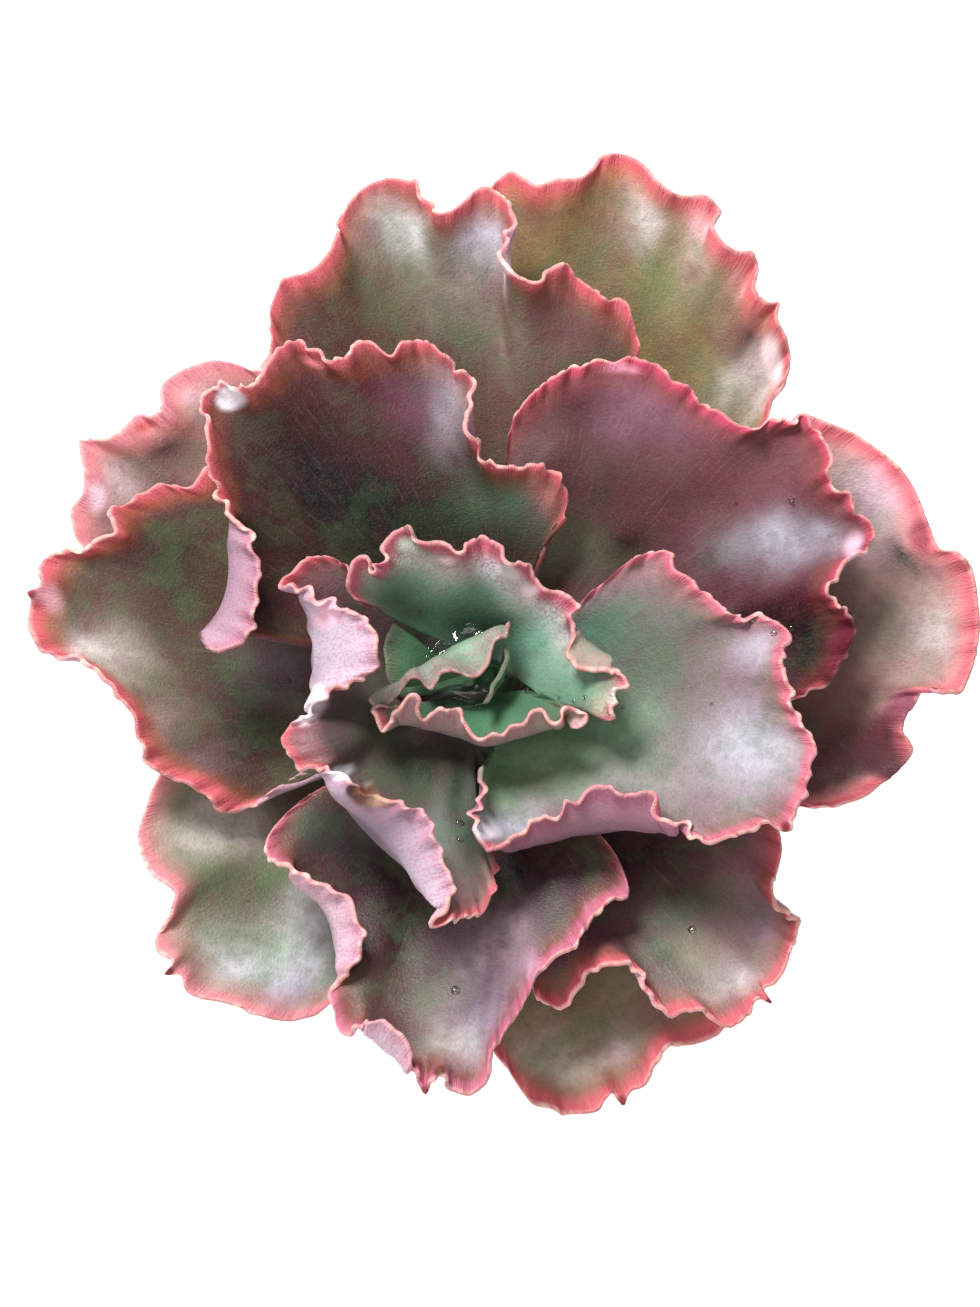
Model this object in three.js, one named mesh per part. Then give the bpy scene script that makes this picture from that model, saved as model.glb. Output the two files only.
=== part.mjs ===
// A ruffled echeveria in a clay pot: one open rosette of broad, wavy-edged leaves on a short trunk.
// Millimetres, +Z up. The origin is on the surface that the pot stands on, under the middle of the
// rosette's reach.
import * as THREE from 'three';

// Pot: a plain clay pot with a straight rim band, and a drain hole through its floor.
const POT = {
  height: 104,
  rimRadius: 60,
  bandHeight: 22,
  bandStep: 4,
  bandDraft: 1,
  lipRound: 1.5,
  footRadius: 38,
  wall: 5,
  floor: 7,
  drainRadius: 8,
};
const SOIL_LEVEL = 91;
const SOIL_EDGE_DROP = 2;
const SOIL_FLAT_SHARE = 0.6;
const CLEARANCE = 0.3;
const ROUND_SIDES = 48;

// Trunk: a stout stem that narrows to the growing point, which is the crown.
const CROWN_HEIGHT = 142;
const TRUNK_RADIUS = 11;
const CROWN_RADIUS = 1.6;
const TRUNK_DEPTH_IN_SOIL = 26;
const TIP_HEIGHT = 0.8;

// Leaves sit on the trunk in a spiral, leaf 0 at the crown and each next one lower and flatter.
const FIRST_BEARING = -15;
const DIVERGENCE = 140;
const LEAF_PITCH = 2.4;
const FIRST_LEAF_DROP = 2;
const TAPER_LEAVES = 9;
const TRUNK_TAPER = (TRUNK_RADIUS - CROWN_RADIUS) / (LEAF_PITCH * TAPER_LEAVES);
const OUTER_SLOPE = 9;
const SLOPE_SPREAD = 86;
const ROOT_HALF_ANGLE = 36;
const SHOULDER_SHARE = 0.74;
const SHOULDER_WAVE = 0.35;
const SHOULDER_RISE = 0.15;
const BELLY_RISE = 0.3;
const CALM_SPAN = 2;
const ROOT_THICKNESS = 3.2;
const EDGE_THICKNESS = 1.7;

// The leaves' edges are given as they are seen from the front and above: mm across, mm up the view, and lift.
const VIEW_ELEVATION = THREE.MathUtils.degToRad(77);
const VIEW_DISTANCE = 900;
const VIEW_PASSES = 12;

// How densely a leaf is faceted: mm along its edge for each facet, and the rings from root to edge.
const FACET_LENGTH = 5.2;
const FEWEST_COLUMNS = 10;
const RINGS = [0, 0.24, 0.5, 0.72, 0.88, 1];

// The length of blade, in mm, that shares one direction across its thickness.
const EVEN_LENGTH = 7;

// Each station is [across, up, lift] on the leaf's edge, counterclockwise from one side of the root to the
// other. Lift is the height above the leaf's own even slope. Where the edge rolls inwards a station goes on
// with the shoulder that the blade turns over: [..., shoulder across, shoulder up, shoulder lift], and its
// first lift is then the height of the edge above that shoulder.
const LEAVES = [
  { name: 'leaf_00_heart', slope: 45, girth: 0.5, sag: 0, edge: [
    [-1.8, -7.5, 3], [1, -3.5, 5], [3, 0, 6], [4.3, 3.5, 5], [3.5, 6.5, 3]] },
  { name: 'leaf_01_hood', slope: 22, spread: 26, girth: 0.7, sag: 0, edge: [
    [4.5, 11.8, 6], [3.8, 8.1, 1, 2, 10.8, 9], [0.5, 4.8, 1, -3, 8.2, 10], [-0.5, 1, 0, -7, 6.2, 10],
    [-5.5, -0.9, 0, -10, 4.8, 9], [-10.8, -0.2, 0, -13, 3, 9], [-13.5, -3.9, 1, -15.8, 1.2, 8],
    [-17.5, -2.5, 0, -18, -0.2, 8], [-21, -6, 0, -21.2, -2.8, 7], [-25, -8.8, -1, -24.5, -4.5, 6],
    [-28.5, -7, 0, -27, -5, 5]] },
  { name: 'leaf_02_inner_front', slope: 42, turn: 6, spread: 42, girth: 0.8, sag: 0, edge: [
    [-21, -8, 0], [-27.5, -9.8, 0], [-25, -13.5, 0], [-21.5, -9.5, 4, -20.5, -12.3, 0],
    [-18, -6, 8, -17, -12.5, 0], [-15, -11, 5, -14, -13.5, 0], [-11.5, -8.5, 8, -10.5, -14, 0],
    [-7, -10, 8, -6.5, -15.5, 0], [-2, -14.5, 6, -2, -16.8, 0], [4, -14, 6, 4, -16, 0],
    [8, -11, 7, 9, -14.5, 0], [12, -8.5, 7, 13, -13, 0], [17, -11, 4, 17, -12.5, 0],
    [21, -9, 2], [22.5, -11, 0], [15, -6.4, 0], [8.5, -4.4, 0]] },
  { name: 'leaf_03_inner_back', slope: 44, turn: 18, spread: 54, sag: 0, edge: [
    [15, -9, -3], [24, -11, -1], [29, -11.5, 0], [31.5, -5, 2], [31.5, 0, 1], [27, 1, 3, 28.5, 4.2, 0],
    [22, 1.5, 4, 24.5, 5, 0], [19.5, 7, 4, 21.5, 9, 0], [19.5, 15.5, 1], [15, 19.5, 0], [9.5, 21.5, 3],
    [9, 26, 1], [4, 26.5, 5], [1, 30, 0], [-4, 31, -1], [-8, 28, 4], [-13, 30, 1], [-20, 34, -2],
    [-24.5, 28.5, 2], [-27, 23, 6], [-32, 25.5, 1], [-33.5, 20, 0], [-29, 16, 0],
    [-23, 12.5, 0]] },
  { name: 'leaf_04_left_cup', sag: 2, edge: [
    [-25.5, 20, 0], [-33.5, 26, 0], [-41, 27, 0], [-46, 24, 0], [-48.5, 20.5, 1],
    [-42, 19, 6, -45, 17.5, 0], [-35, 17, 9, -43, 12, 0], [-28, 11, 12, -41.5, 7, 0],
    [-26, 3, 12, -41.5, 1, 0], [-32, -3, 8, -42.5, -4, 0], [-39, -5.5, 5, -43.5, -7, 1],
    [-46.5, -12, 0, -40, -11.5, 3], [-49, -17, -1, -38.5, -15, 5], [-44.5, -21, 0, -36.5, -18.5, 5],
    [-37, -23.5, 4, -39, -24, 2], [-30.5, -27.5, 8, -38, -28, 0], [-24, -30, 9, -32.5, -33, 0],
    [-17, -32, 10, -27, -38.5, 0], [-13, -39, 9, -22, -43.5, 0], [-10, -47, 7, -17.5, -49.5, 0],
    [-10.5, -54, 4, -14, -54.5, 0], [-12, -59, 0], [-8, -57.5, -1], [-3, -57, 5, -5, -46, -2],
    [1, -50, 5, -3, -39.5, -4.4], [-0.5, -43, 2, -3.5, -33, -6.6], [-1.5, -34, -1, -4.5, -26.5, -6.7],
    [-1, -26, -1, -4.5, -20, -5.7], [1, -18.5, -2, -2, -13.8, -4.6]] },
  { name: 'leaf_05_right_tongue', sag: 2, edge: [
    [-2, -22, 13], [-2.3, -30, 14], [-3.6, -36, 14.6], [-1.5, -40, 12], [3, -41, 6, 4, -41.5, 4],
    [8, -37, 7, 9, -40.5, 0], [14, -32.5, 9, 16, -39, 0], [22, -27.5, 9, 24, -37.5, 0],
    [30, -28, 8, 31, -37, 0], [37, -29, 6, 38.5, -37, 0], [42, -35, 3, 43, -38, 0], [51, -39.5, 0],
    [59, -36.5, 1], [68, -34.5, -1], [73.5, -29, 0], [76, -19, -2], [72, -11, 1], [70, -3, 3],
    [67.5, 4, 5], [70, 9.5, 1], [65, 13, 1], [57, 12.5, 4], [50, 17.5, 3], [44, 24, 2], [41, 28, -1],
    [34, 26.5, 0], [26, 20, 0], [20, 15, 0]] },
  { name: 'leaf_06_back_left', sag: 2, edge: [
    [14, 28, 0], [13, 31.5, 0], [15.5, 34.5, 0], [18, 40, 0], [15, 46.5, 1], [8, 49, 4], [1, 49.5, 6],
    [-4, 54, 7], [-4, 61, 5], [-6, 69, 1], [-12, 75, 0], [-20, 77, -1], [-28, 76.5, 0], [-36, 73, 3],
    [-44, 77, -1], [-51, 73.5, 1], [-57, 65, 6], [-65, 66.5, 1], [-68, 61, -1], [-66, 53, 2],
    [-64, 43, 3], [-58, 33.5, 6, -61.5, 34, 1], [-54, 26, 9, -60.5, 28, 0], [-54, 18, 9, -61.5, 20, 0],
    [-56, 10, 7, -63.5, 13.5, 0], [-60, 6, 5, -65.5, 10.5, 0], [-64, 4.5, 3, -67.5, 9, 0]] },
  { name: 'leaf_07_front', sag: 2, edge: [
    [-40, -28, 0], [-48, -34, 0], [-52, -40.5, 0], [-50.5, -45, 2],
    [-45, -46, 5, -46.5, -48.5, 0], [-38, -50, 7, -41.5, -51.5, 0], [-32, -55, 8, -37.5, -56, 0],
    [-29.5, -62, 8, -35.5, -62, 0], [-31.5, -69, 5, -36, -68, 0], [-37, -75.5, 0, -33.5, -70.5, 0],
    [-35, -83.5, 0, -30, -76, 0],
    [-29, -82, 3, -29.5, -84, 0], [-25, -80.5, 6, -27.5, -85.5, 0], [-20, -85, 6, -23, -88.5, 0],
    [-18, -92, 3, -19.5, -93, 0], [-15, -96.5, -1], [-11, -91.5, 5], [-8, -97.5, 0], [-3, -97, -1],
    [0, -90, 1], [5, -80, 1], [11, -72, 0], [19, -64.5, 2], [24, -57, 1], [32, -52.5, -1],
    [31, -45, 0], [26, -38, 0], [18, -27, 0]] },
  { name: 'leaf_08_back_right', sag: 2, edge: [
    [58, -8, 0], [72, -7, 0], [80, -1, 0], [84.5, 8, -1], [83, 15, 1],
    [79.5, 20, 5], [82, 26, 2], [89, 32, -2], [86, 38, 0], [82, 42, 3], [78, 46, 5], [79, 52, 2],
    [74, 60, -1], [66, 58.5, 4], [57, 59, 3], [49, 63, 1], [43, 67.5, 1], [31, 73, -1], [24, 72, 0],
    [15, 68, 1], [8, 62, 1], [4, 54, 0], [3, 42, 0]] },
  { name: 'leaf_09_left', sag: 2, edge: [
    [-50, 39.5, 0], [-66, 47, 0], [-71, 43.5, 1], [-78, 43, 0], [-84, 40, 1],
    [-89, 38, 3], [-88, 32.5, 6], [-94, 30.5, 3], [-98, 28.5, 2], [-103, 27, -1], [-105, 21, 1],
    [-107, 15, -2], [-105, 7, -1], [-99, 2, 1], [-92, -3, 4], [-86, -11, 4], [-82, -18, 2],
    [-76, -23, 0], [-68, -27, 1], [-62, -32.5, -2], [-54, -31, 0], [-43, -27, 0]] },
  { name: 'leaf_10_front_right', sag: 2, edge: [
    [6.5, -62, 0], [9, -71, 0], [12, -77, 0], [18, -78, 2], [21, -71, 6],
    [27, -68, 8], [33, -68, 7], [37, -75, 4], [42, -81, 0], [47, -78.5, 2], [54, -82.5, -1],
    [60, -80, -1], [65.5, -76, -2], [69, -68, 0], [72, -59, -1], [71, -55.5, 2], [66, -53, 5],
    [67.5, -45, 2], [66, -36, 0], [54, -24, 0]] },
  { name: 'leaf_11_far_back', sag: 2, edge: [
    [33, 66, 0], [35, 76, 0], [33, 84, 1], [27, 88.5, 2], [21, 92, 1],
    [16, 95, 3], [10, 93, 7], [4.5, 97, 8], [4, 103, 5], [5, 108, 1], [0, 112, -2], [-6, 110, 1],
    [-12, 107, 5], [-17, 112, 2], [-23, 115, -2], [-30, 113, -3], [-34, 106, 0], [-36, 98, 3],
    [-41, 92.5, 3], [-48, 91, 0], [-51, 84, -1], [-50, 76, 0], [-44, 62, 0]] },
  { name: 'leaf_12_front_left', sag: 2, edge: [
    [-60, -14, 0], [-75, -20, 0], [-79, -29, 0], [-81.5, -38, -2],
    [-79, -46, 0], [-73.5, -51, 5], [-75, -57, 3], [-77.5, -61, 0], [-74, -67, 2], [-71, -73, -1],
    [-63, -77, -1], [-54, -80, 1], [-46, -81, -1], [-38, -79, 0], [-29, -70, 0], [-18, -56, 0]] },
  { name: 'leaf_13_far_right', sag: 2, edge: [
    [60, -30, 0], [78, -32, 0], [88, -29, -1], [97, -22, -1],
    [97.5, -16, 2], [96, -10, 4], [100, -5, 2], [104, -3, 4], [110, -4, 0], [114, 3, -2], [114, 12, -1],
    [113, 21, 0], [107, 28, 4], [103, 31, 3], [100, 41, 0], [94, 51, -1], [85, 56, -2], [75, 58, 0],
    [60, 50, 0]] },
  { name: 'leaf_14_far_left', sag: 2, edge: [
    [-42, 66, 0], [-52, 71, 0], [-60, 72.5, -1],
    [-70, 70.5, 0], [-76.5, 66, 0], [-76, 60, 4], [-82, 59, 0], [-86, 54.5, 4], [-95.5, 54, -1],
    [-94, 46, 2], [-97.5, 38, -1], [-96, 30, 0], [-84, 19, 0]] },
  { name: 'leaf_15_far_front', sag: 2, edge: [
    [-4, -66, 0], [-3, -78, 0], [2, -90, 0], [7, -97, 0], [12, -101, 2],
    [20, -103.5, -1], [26, -101, 2], [31, -99, -1], [37, -95.5, 0], [40, -89, 3], [48, -86, 0],
    [56, -82, 0], [58, -70, 0], [50, -56, 0]] },
  { name: 'leaf_16_far_corner', sag: 2, edge: [
    [58, 47, 0], [66, 59, 0], [68, 67, -1], [70, 75, -2], [66.5, 82, 2],
    [67.5, 86.5, 0], [62, 87, 4], [61.5, 94, 0], [57, 98.5, 3], [53, 102, 4], [53, 109, -1],
    [47, 111, 0], [40, 114, 4], [34, 120, -1], [27, 121, -1], [22, 116.5, 3], [12, 114, 4],
    [5, 116.5, -1], [-3, 109, 0], [-8, 93, 0], [-8, 76, 0]] },
  { name: 'leaf_17_inner_left', place: 1.5, drop: 2, slope: 38, spread: 24, girth: 0.6, sag: 2, edge: [
    [-22.3, 11.8, 1], [-24.2, 8, 0], [-24.5, 3, -1],
    [-23.5, -2.5, -2.8], [-20, -6.5, -4.2]] },
];

const deg = THREE.MathUtils.degToRad;

// Radius of the trunk where a leaf is rooted, wider towards the soil.
const rootRadius = (order, drop) => {
  const down = Math.min(LEAF_PITCH * TAPER_LEAVES, LEAF_PITCH * order + drop);
  return CROWN_RADIUS + TRUNK_TAPER * down;
};

// How far a root's middle stands off the trunk, so that the nearer corner of its cut face clears the bark.
const rootStandOff = (order, slope, thickness) => {
  const taper = order < TAPER_LEAVES ? TRUNK_TAPER : 0;
  const room = taper > 0 ? 2 * CLEARANCE : CLEARANCE;
  return room * Math.hypot(1, taper) + Math.abs(Math.sin(slope) - taper * Math.cos(slope)) * thickness / 2;
};

// Height of a leaf's even slope above the crown, at a distance from the trunk's axis.
const slopeHeight = (order, drop, slope, distance) => {
  const out = Math.max(0, distance - rootRadius(order, drop));
  return -FIRST_LEAF_DROP - LEAF_PITCH * order - drop + out * Math.tan(slope);
};

// The place of a point that is seen at (across, up), where heightAt gives its height from its radius.
function placeSeen(across, up, heightAt) {
  const sine = Math.sin(VIEW_ELEVATION);
  const cosine = Math.cos(VIEW_ELEVATION);
  const place = new THREE.Vector3(across, up, 0);
  for (let pass = 0; pass < VIEW_PASSES; pass += 1) {
    const height = heightAt(Math.hypot(place.x, place.y));
    const nearer = 1 - (height * sine - place.y * cosine) / VIEW_DISTANCE;
    place.set(across * nearer, (up * nearer - height * cosine) / sine, height);
  }
  return place;
}

// The four control curves of a leaf, from root to edge: root, belly, shoulder and edge.
// Each has one point for each station.
function controlCurves(leaf, order) {
  const bearing = deg(FIRST_BEARING + DIVERGENCE * order + (leaf.turn ?? 0));
  const slope = deg(leaf.slope ?? OUTER_SLOPE + SLOPE_SPREAD / (order - 1));
  const spread = deg(leaf.spread ?? ROOT_HALF_ANGLE);
  const thickness = (leaf.girth ?? 1) * ROOT_THICKNESS;
  const radius = rootRadius(order, leaf.drop ?? 0) + rootStandOff(order, slope, thickness);
  const heightAt = (distance) => slopeHeight(order, leaf.drop ?? 0, slope, distance);
  const bladeHeight = (point) => heightAt(Math.hypot(point.x, point.y));
  const last = leaf.edge.length - 1;
  const root = leaf.edge.map((_, i) => {
    const turn = bearing + spread * (2 * i / last - 1);
    return new THREE.Vector3(radius * Math.cos(turn), radius * Math.sin(turn), heightAt(0));
  });
  const even = (lift) => (distance) => heightAt(distance) + lift;
  const edge = [];
  const shoulder = [];
  leaf.edge.forEach(([across, up, lift, sAcross, sUp, sLift], i) => {
    if (sAcross === undefined) {
      edge[i] = placeSeen(across, up, even(lift));
    } else {
      shoulder[i] = placeSeen(sAcross, sUp, even(sLift));
      edge[i] = placeSeen(across, up, () => shoulder[i].z + lift);
    }
  });
  // A plain station's shoulder lies on the calmer line that its neighbours share.
  const calm = edge.map((point, i) => {
    const sum = new THREE.Vector3();
    let weight = 0;
    const span = Math.min(CALM_SPAN, i, last - i);
    for (let step = -span; step <= span; step += 1) {
      const j = i + step;
      const share = span + 1 - Math.abs(step);
      sum.addScaledVector(shoulder[j] ?? edge[j], share);
      weight += share;
    }
    return sum.divideScalar(weight);
  });
  const belly = [];
  leaf.edge.forEach((station, i) => {
    if (station.length === 3) {
      shoulder[i] = root[i].clone().lerp(calm[i].lerp(edge[i], SHOULDER_WAVE), SHOULDER_SHARE);
      shoulder[i].z = bladeHeight(shoulder[i]) + SHOULDER_RISE * (edge[i].z - bladeHeight(edge[i]));
    }
    belly[i] = root[i].clone().lerp(shoulder[i], 0.5);
    belly[i].z = bladeHeight(belly[i]) - leaf.sag + BELLY_RISE * (shoulder[i].z - bladeHeight(shoulder[i]));
  });
  return [root, belly, shoulder, edge];
}

const smooth = (points) => new THREE.CatmullRomCurve3(points, false, 'centripetal');

// The middle surface of a leaf as rows of points, root first.
function leafRows(leaf, order) {
  const curves = controlCurves(leaf, order).map(smooth);
  const edge = curves[3];
  const columns = Math.max(FEWEST_COLUMNS, Math.round(edge.getLength() / FACET_LENGTH));
  const rows = RINGS.map(() => []);
  for (let c = 0; c <= columns; c += 1) {
    const along = edge.getUtoTmapping(c / columns);
    const ray = smooth(curves.map((curve) => curve.getPoint(along)));
    RINGS.forEach((share, r) => rows[r].push(ray.getPoint(share)));
  }
  return rows;
}

// The directions across the blade, each evened out along its row over a length that the thickness needs.
function crossDirections(rows) {
  const last = rows[0].length - 1;
  const raw = rows.map((row, r) => row.map((point, c) => {
    const along = row[Math.min(last, c + 1)].clone().sub(row[Math.max(0, c - 1)]);
    const outward = rows[Math.min(rows.length - 1, r + 1)][c].clone().sub(rows[Math.max(0, r - 1)][c]);
    return outward.cross(along).normalize();
  }));
  return raw.map((row, r) => {
    const rowLength = rows[r].slice(1).reduce((sum, point, c) => sum + point.distanceTo(rows[r][c]), 0);
    const span = Math.ceil(EVEN_LENGTH * last / rowLength);
    return row.map((_, c) => {
      const sum = new THREE.Vector3();
      for (let step = -span; step <= span; step += 1) {
        sum.addScaledVector(row[Math.min(last, Math.max(0, c + step))], span + 1 - Math.abs(step));
      }
      return sum.normalize();
    });
  });
}

// A closed blade round a middle surface: two faces split alike, and a strip round their edge.
function bladeGeometry(rows, girth) {
  const height = rows.length;
  const width = rows[0].length;
  const upper = [];
  const lower = [];
  const directions = crossDirections(rows);
  rows.forEach((row, r) => row.forEach((point, c) => {
    const half = girth * THREE.MathUtils.lerp(ROOT_THICKNESS, EDGE_THICKNESS, RINGS[r]) / 2;
    upper.push(point.clone().addScaledVector(directions[r][c], half));
    lower.push(point.clone().addScaledVector(directions[r][c], -half));
  }));
  const points = [...upper, ...lower];
  const below = upper.length;
  const index = [];
  const face = (a, b, c) => {
    index.push(a, b, c);
    index.push(a + below, c + below, b + below);
  };
  for (let r = 0; r + 1 < height; r += 1) {
    for (let c = 0; c + 1 < width; c += 1) {
      const a = r * width + c;
      const [b, d, e] = [a + 1, a + width, a + width + 1];
      const rising = rows[r][c].distanceTo(rows[r + 1][c + 1]);
      const falling = rows[r][c + 1].distanceTo(rows[r + 1][c]);
      if (rising < falling) {
        face(a, d, e);
        face(a, e, b);
      } else {
        face(a, d, b);
        face(b, d, e);
      }
    }
  }
  const wall = (a, b) => index.push(a, b, b + below, a, b + below, a + below);
  for (let c = 0; c + 1 < width; c += 1) {
    wall(c, c + 1);
    wall((height - 1) * width + c + 1, (height - 1) * width + c);
  }
  for (let r = 0; r + 1 < height; r += 1) {
    wall((r + 1) * width, r * width);
    wall(r * width + width - 1, (r + 1) * width + width - 1);
  }
  const geometry = new THREE.BufferGeometry();
  geometry.setFromPoints(points);
  geometry.setIndex(index);
  geometry.computeVertexNormals();
  return geometry;
}

// A turned solid from a profile of [radius, height] pairs, lathed round Z.
function turned(profile) {
  const points = profile.map(([radius, height]) => new THREE.Vector2(radius, height));
  return new THREE.LatheGeometry(points, ROUND_SIDES).rotateX(Math.PI / 2);
}

const clay = new THREE.MeshStandardMaterial({ color: 0xb5714c, roughness: 0.9, metalness: 0 });
const soilMix = new THREE.MeshStandardMaterial({ color: 0x3b2c22, roughness: 1, metalness: 0 });
const bark = new THREE.MeshStandardMaterial({ color: 0x7c6a4e, roughness: 0.9, metalness: 0 });

// The leaves turn from green at the heart to mauve at the fourth ring outwards.
const HEART_GREEN = new THREE.Color(0x5f8a6c);
const OUTER_MAUVE = new THREE.Color(0x8a5a5e);
const FIRST_MAUVE_LEAF = 7;
const leafSkin = (order) => new THREE.MeshStandardMaterial({
  color: HEART_GREEN.clone().lerp(OUTER_MAUVE, Math.min(1, order / FIRST_MAUVE_LEAF)),
  roughness: 0.5,
  metalness: 0,
});

// The inside of the pot: radius and height at the floor, at the foot of the rim band and at the mouth.
const INSIDE = [
  [POT.footRadius - POT.wall, POT.floor],
  [POT.rimRadius - POT.bandStep - POT.wall - POT.bandDraft, POT.height - POT.bandHeight],
  [POT.rimRadius - POT.wall - 2 * POT.bandDraft, POT.height - POT.lipRound],
];

function pot() {
  const { height, rimRadius, bandHeight, bandStep, bandDraft, lipRound, footRadius, wall, drainRadius } = POT;
  return new THREE.Mesh(turned([
    [drainRadius, 0],
    [footRadius, 0],
    [rimRadius - bandStep, height - bandHeight],
    [rimRadius - bandDraft, height - bandHeight],
    [rimRadius, height - lipRound],
    [rimRadius - lipRound, height],
    [rimRadius - wall - bandDraft, height],
    ...INSIDE.toReversed(),
    [drainRadius, POT.floor],
    [drainRadius, 0],
  ]), clay);
}

// The pot's inside radius at a height above its floor.
function insideRadius(height) {
  const [low, middle, high] = INSIDE;
  const [from, to] = height <= middle[1] ? [low, middle] : [middle, high];
  return THREE.MathUtils.mapLinear(height, from[1], to[1], from[0], to[0]);
}

// The soil fills the pot and has a plain hole for the trunk.
function soil() {
  const bottom = POT.floor + CLEARANCE;
  const bandFoot = POT.height - POT.bandHeight;
  const holeRadius = TRUNK_RADIUS + CLEARANCE;
  const holeFloor = SOIL_LEVEL - TRUNK_DEPTH_IN_SOIL - CLEARANCE;
  return new THREE.Mesh(turned([
    [0, bottom],
    [insideRadius(bottom) - CLEARANCE, bottom],
    [insideRadius(bandFoot) - CLEARANCE, bandFoot],
    [insideRadius(SOIL_LEVEL - SOIL_EDGE_DROP) - CLEARANCE, SOIL_LEVEL - SOIL_EDGE_DROP],
    [insideRadius(SOIL_LEVEL) * SOIL_FLAT_SHARE, SOIL_LEVEL],
    [holeRadius, SOIL_LEVEL],
    [holeRadius, holeFloor],
    [0, holeFloor],
  ]), soilMix);
}

// The trunk stands in the soil's hole and tapers to the crown.
function trunk() {
  const foot = SOIL_LEVEL - TRUNK_DEPTH_IN_SOIL - CROWN_HEIGHT;
  const taperFoot = -FIRST_LEAF_DROP - LEAF_PITCH * TAPER_LEAVES;
  return new THREE.Mesh(turned([
    [0, foot],
    [TRUNK_RADIUS, foot],
    [TRUNK_RADIUS, taperFoot],
    [CROWN_RADIUS, -FIRST_LEAF_DROP],
    [0, TIP_HEIGHT - FIRST_LEAF_DROP],
  ]), bark);
}

const rosette = new THREE.Group();
LEAVES.forEach((leaf, index) => {
  const order = leaf.place ?? index;
  const mesh = new THREE.Mesh(bladeGeometry(leafRows(leaf, order), leaf.girth ?? 1), leafSkin(order));
  mesh.name = leaf.name;
  rosette.add(mesh);
});
const stem = trunk();
stem.name = 'trunk';
rosette.add(stem);
rosette.position.z = CROWN_HEIGHT;

const plant = new THREE.Group();
const clayPot = pot();
clayPot.name = 'pot';
const fill = soil();
fill.name = 'soil';
plant.add(clayPot, rosette, fill);
// The rosette reaches further back than forward, so the origin is under the middle of its reach.
const reach = new THREE.Box3().setFromObject(rosette).getCenter(new THREE.Vector3());
plant.position.set(-reach.x, -reach.y, 0);

export default plant;
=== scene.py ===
# A potted ruffled echeveria: an open rosette of broad fleshy leaves with crinkled pink edges, on a short
# trunk in a plain clay pot. Metres, +Z up, in the frame of the solids. Sizes named _MM are in millimetres.
import math

import bmesh
import bpy
import numpy as np
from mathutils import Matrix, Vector, noise
from mathutils.bvhtree import BVHTree


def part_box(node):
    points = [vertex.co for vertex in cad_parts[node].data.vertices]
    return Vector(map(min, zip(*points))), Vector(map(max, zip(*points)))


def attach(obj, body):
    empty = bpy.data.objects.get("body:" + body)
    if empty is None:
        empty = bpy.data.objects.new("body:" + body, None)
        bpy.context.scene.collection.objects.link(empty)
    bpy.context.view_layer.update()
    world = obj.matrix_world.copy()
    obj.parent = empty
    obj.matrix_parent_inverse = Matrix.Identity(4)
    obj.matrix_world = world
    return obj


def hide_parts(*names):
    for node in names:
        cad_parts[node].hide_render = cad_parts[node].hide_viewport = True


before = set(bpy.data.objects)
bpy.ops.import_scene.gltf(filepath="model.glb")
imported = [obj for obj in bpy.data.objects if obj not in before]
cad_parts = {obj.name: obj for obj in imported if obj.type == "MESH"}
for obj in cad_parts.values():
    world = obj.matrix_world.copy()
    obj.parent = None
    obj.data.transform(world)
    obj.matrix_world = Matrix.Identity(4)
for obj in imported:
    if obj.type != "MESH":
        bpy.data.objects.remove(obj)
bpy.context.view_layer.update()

MM = 0.001

# The pot: a plain thrown flower pot with a straight band round its mouth and a drain hole in its floor.
# It is unglazed fired clay, matte and a little sandy, with pale lime bloom where damp has dried out.
# It stands on its foot and carries the potting mix and the plant.
POT_LOW, POT_HIGH = (Vector(corner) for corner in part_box("pot"))
POT_AXIS = (POT_LOW + POT_HIGH) / 2
POT_HEIGHT_MM = (POT_HIGH.z - POT_LOW.z) / MM
POT_RADIUS_MM = (POT_HIGH.x - POT_LOW.x) / 2 / MM
BAND_HEIGHT_MM = 22
BAND_FOOT_MM = POT_HEIGHT_MM - BAND_HEIGHT_MM
BAND_STEP_MM = 4
BAND_LEAN_MM = 1
LIP_MM = 1.5
FOOT_RADIUS_MM = 38
WALL_MM = 5
FLOOR_MM = 7
DRAIN_RADIUS_MM = 8
SEAM_MM = 0.01
EDGE_ROUND_MM = 1.6
ARCS_PER_SIDE = 2.2
POT_MESH_MM = 3
POT_SIDES = 160
THROWING_RING_MM = 0.12
RING_RADIANS = 1.4
OUT_OF_TRUE_MM = 0.25


def paint(red, green, blue):
    """A colour as it is seen, from 0 to 255, as the linear colour that a shader takes."""
    tones = (((c / 255 + 0.055) / 1.055) ** 2.4 if c > 10 else c / 255 / 12.92 for c in (red, green, blue))
    return (*tones, 1)


CLAY = paint(184, 112, 76)
CLAY_DARK = paint(140, 78, 52)
CLAY_SAND = paint(206, 150, 116)
LIME = paint(214, 190, 170)


def add(tree, kind, settings=None, inputs=None, output=0):
    """Adds a node: its settings first, then its sockets' values or links. Returns one of its outputs."""
    made = tree.nodes.new(kind)
    for name, value in (settings or {}).items():
        setattr(made, name, value)
    for key, value in (inputs or {}).items():
        if isinstance(value, Wire):
            tree.links.new(value.socket, made.inputs[key])
        else:
            made.inputs[key].default_value = value
    return Wire(made.outputs[output])


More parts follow.
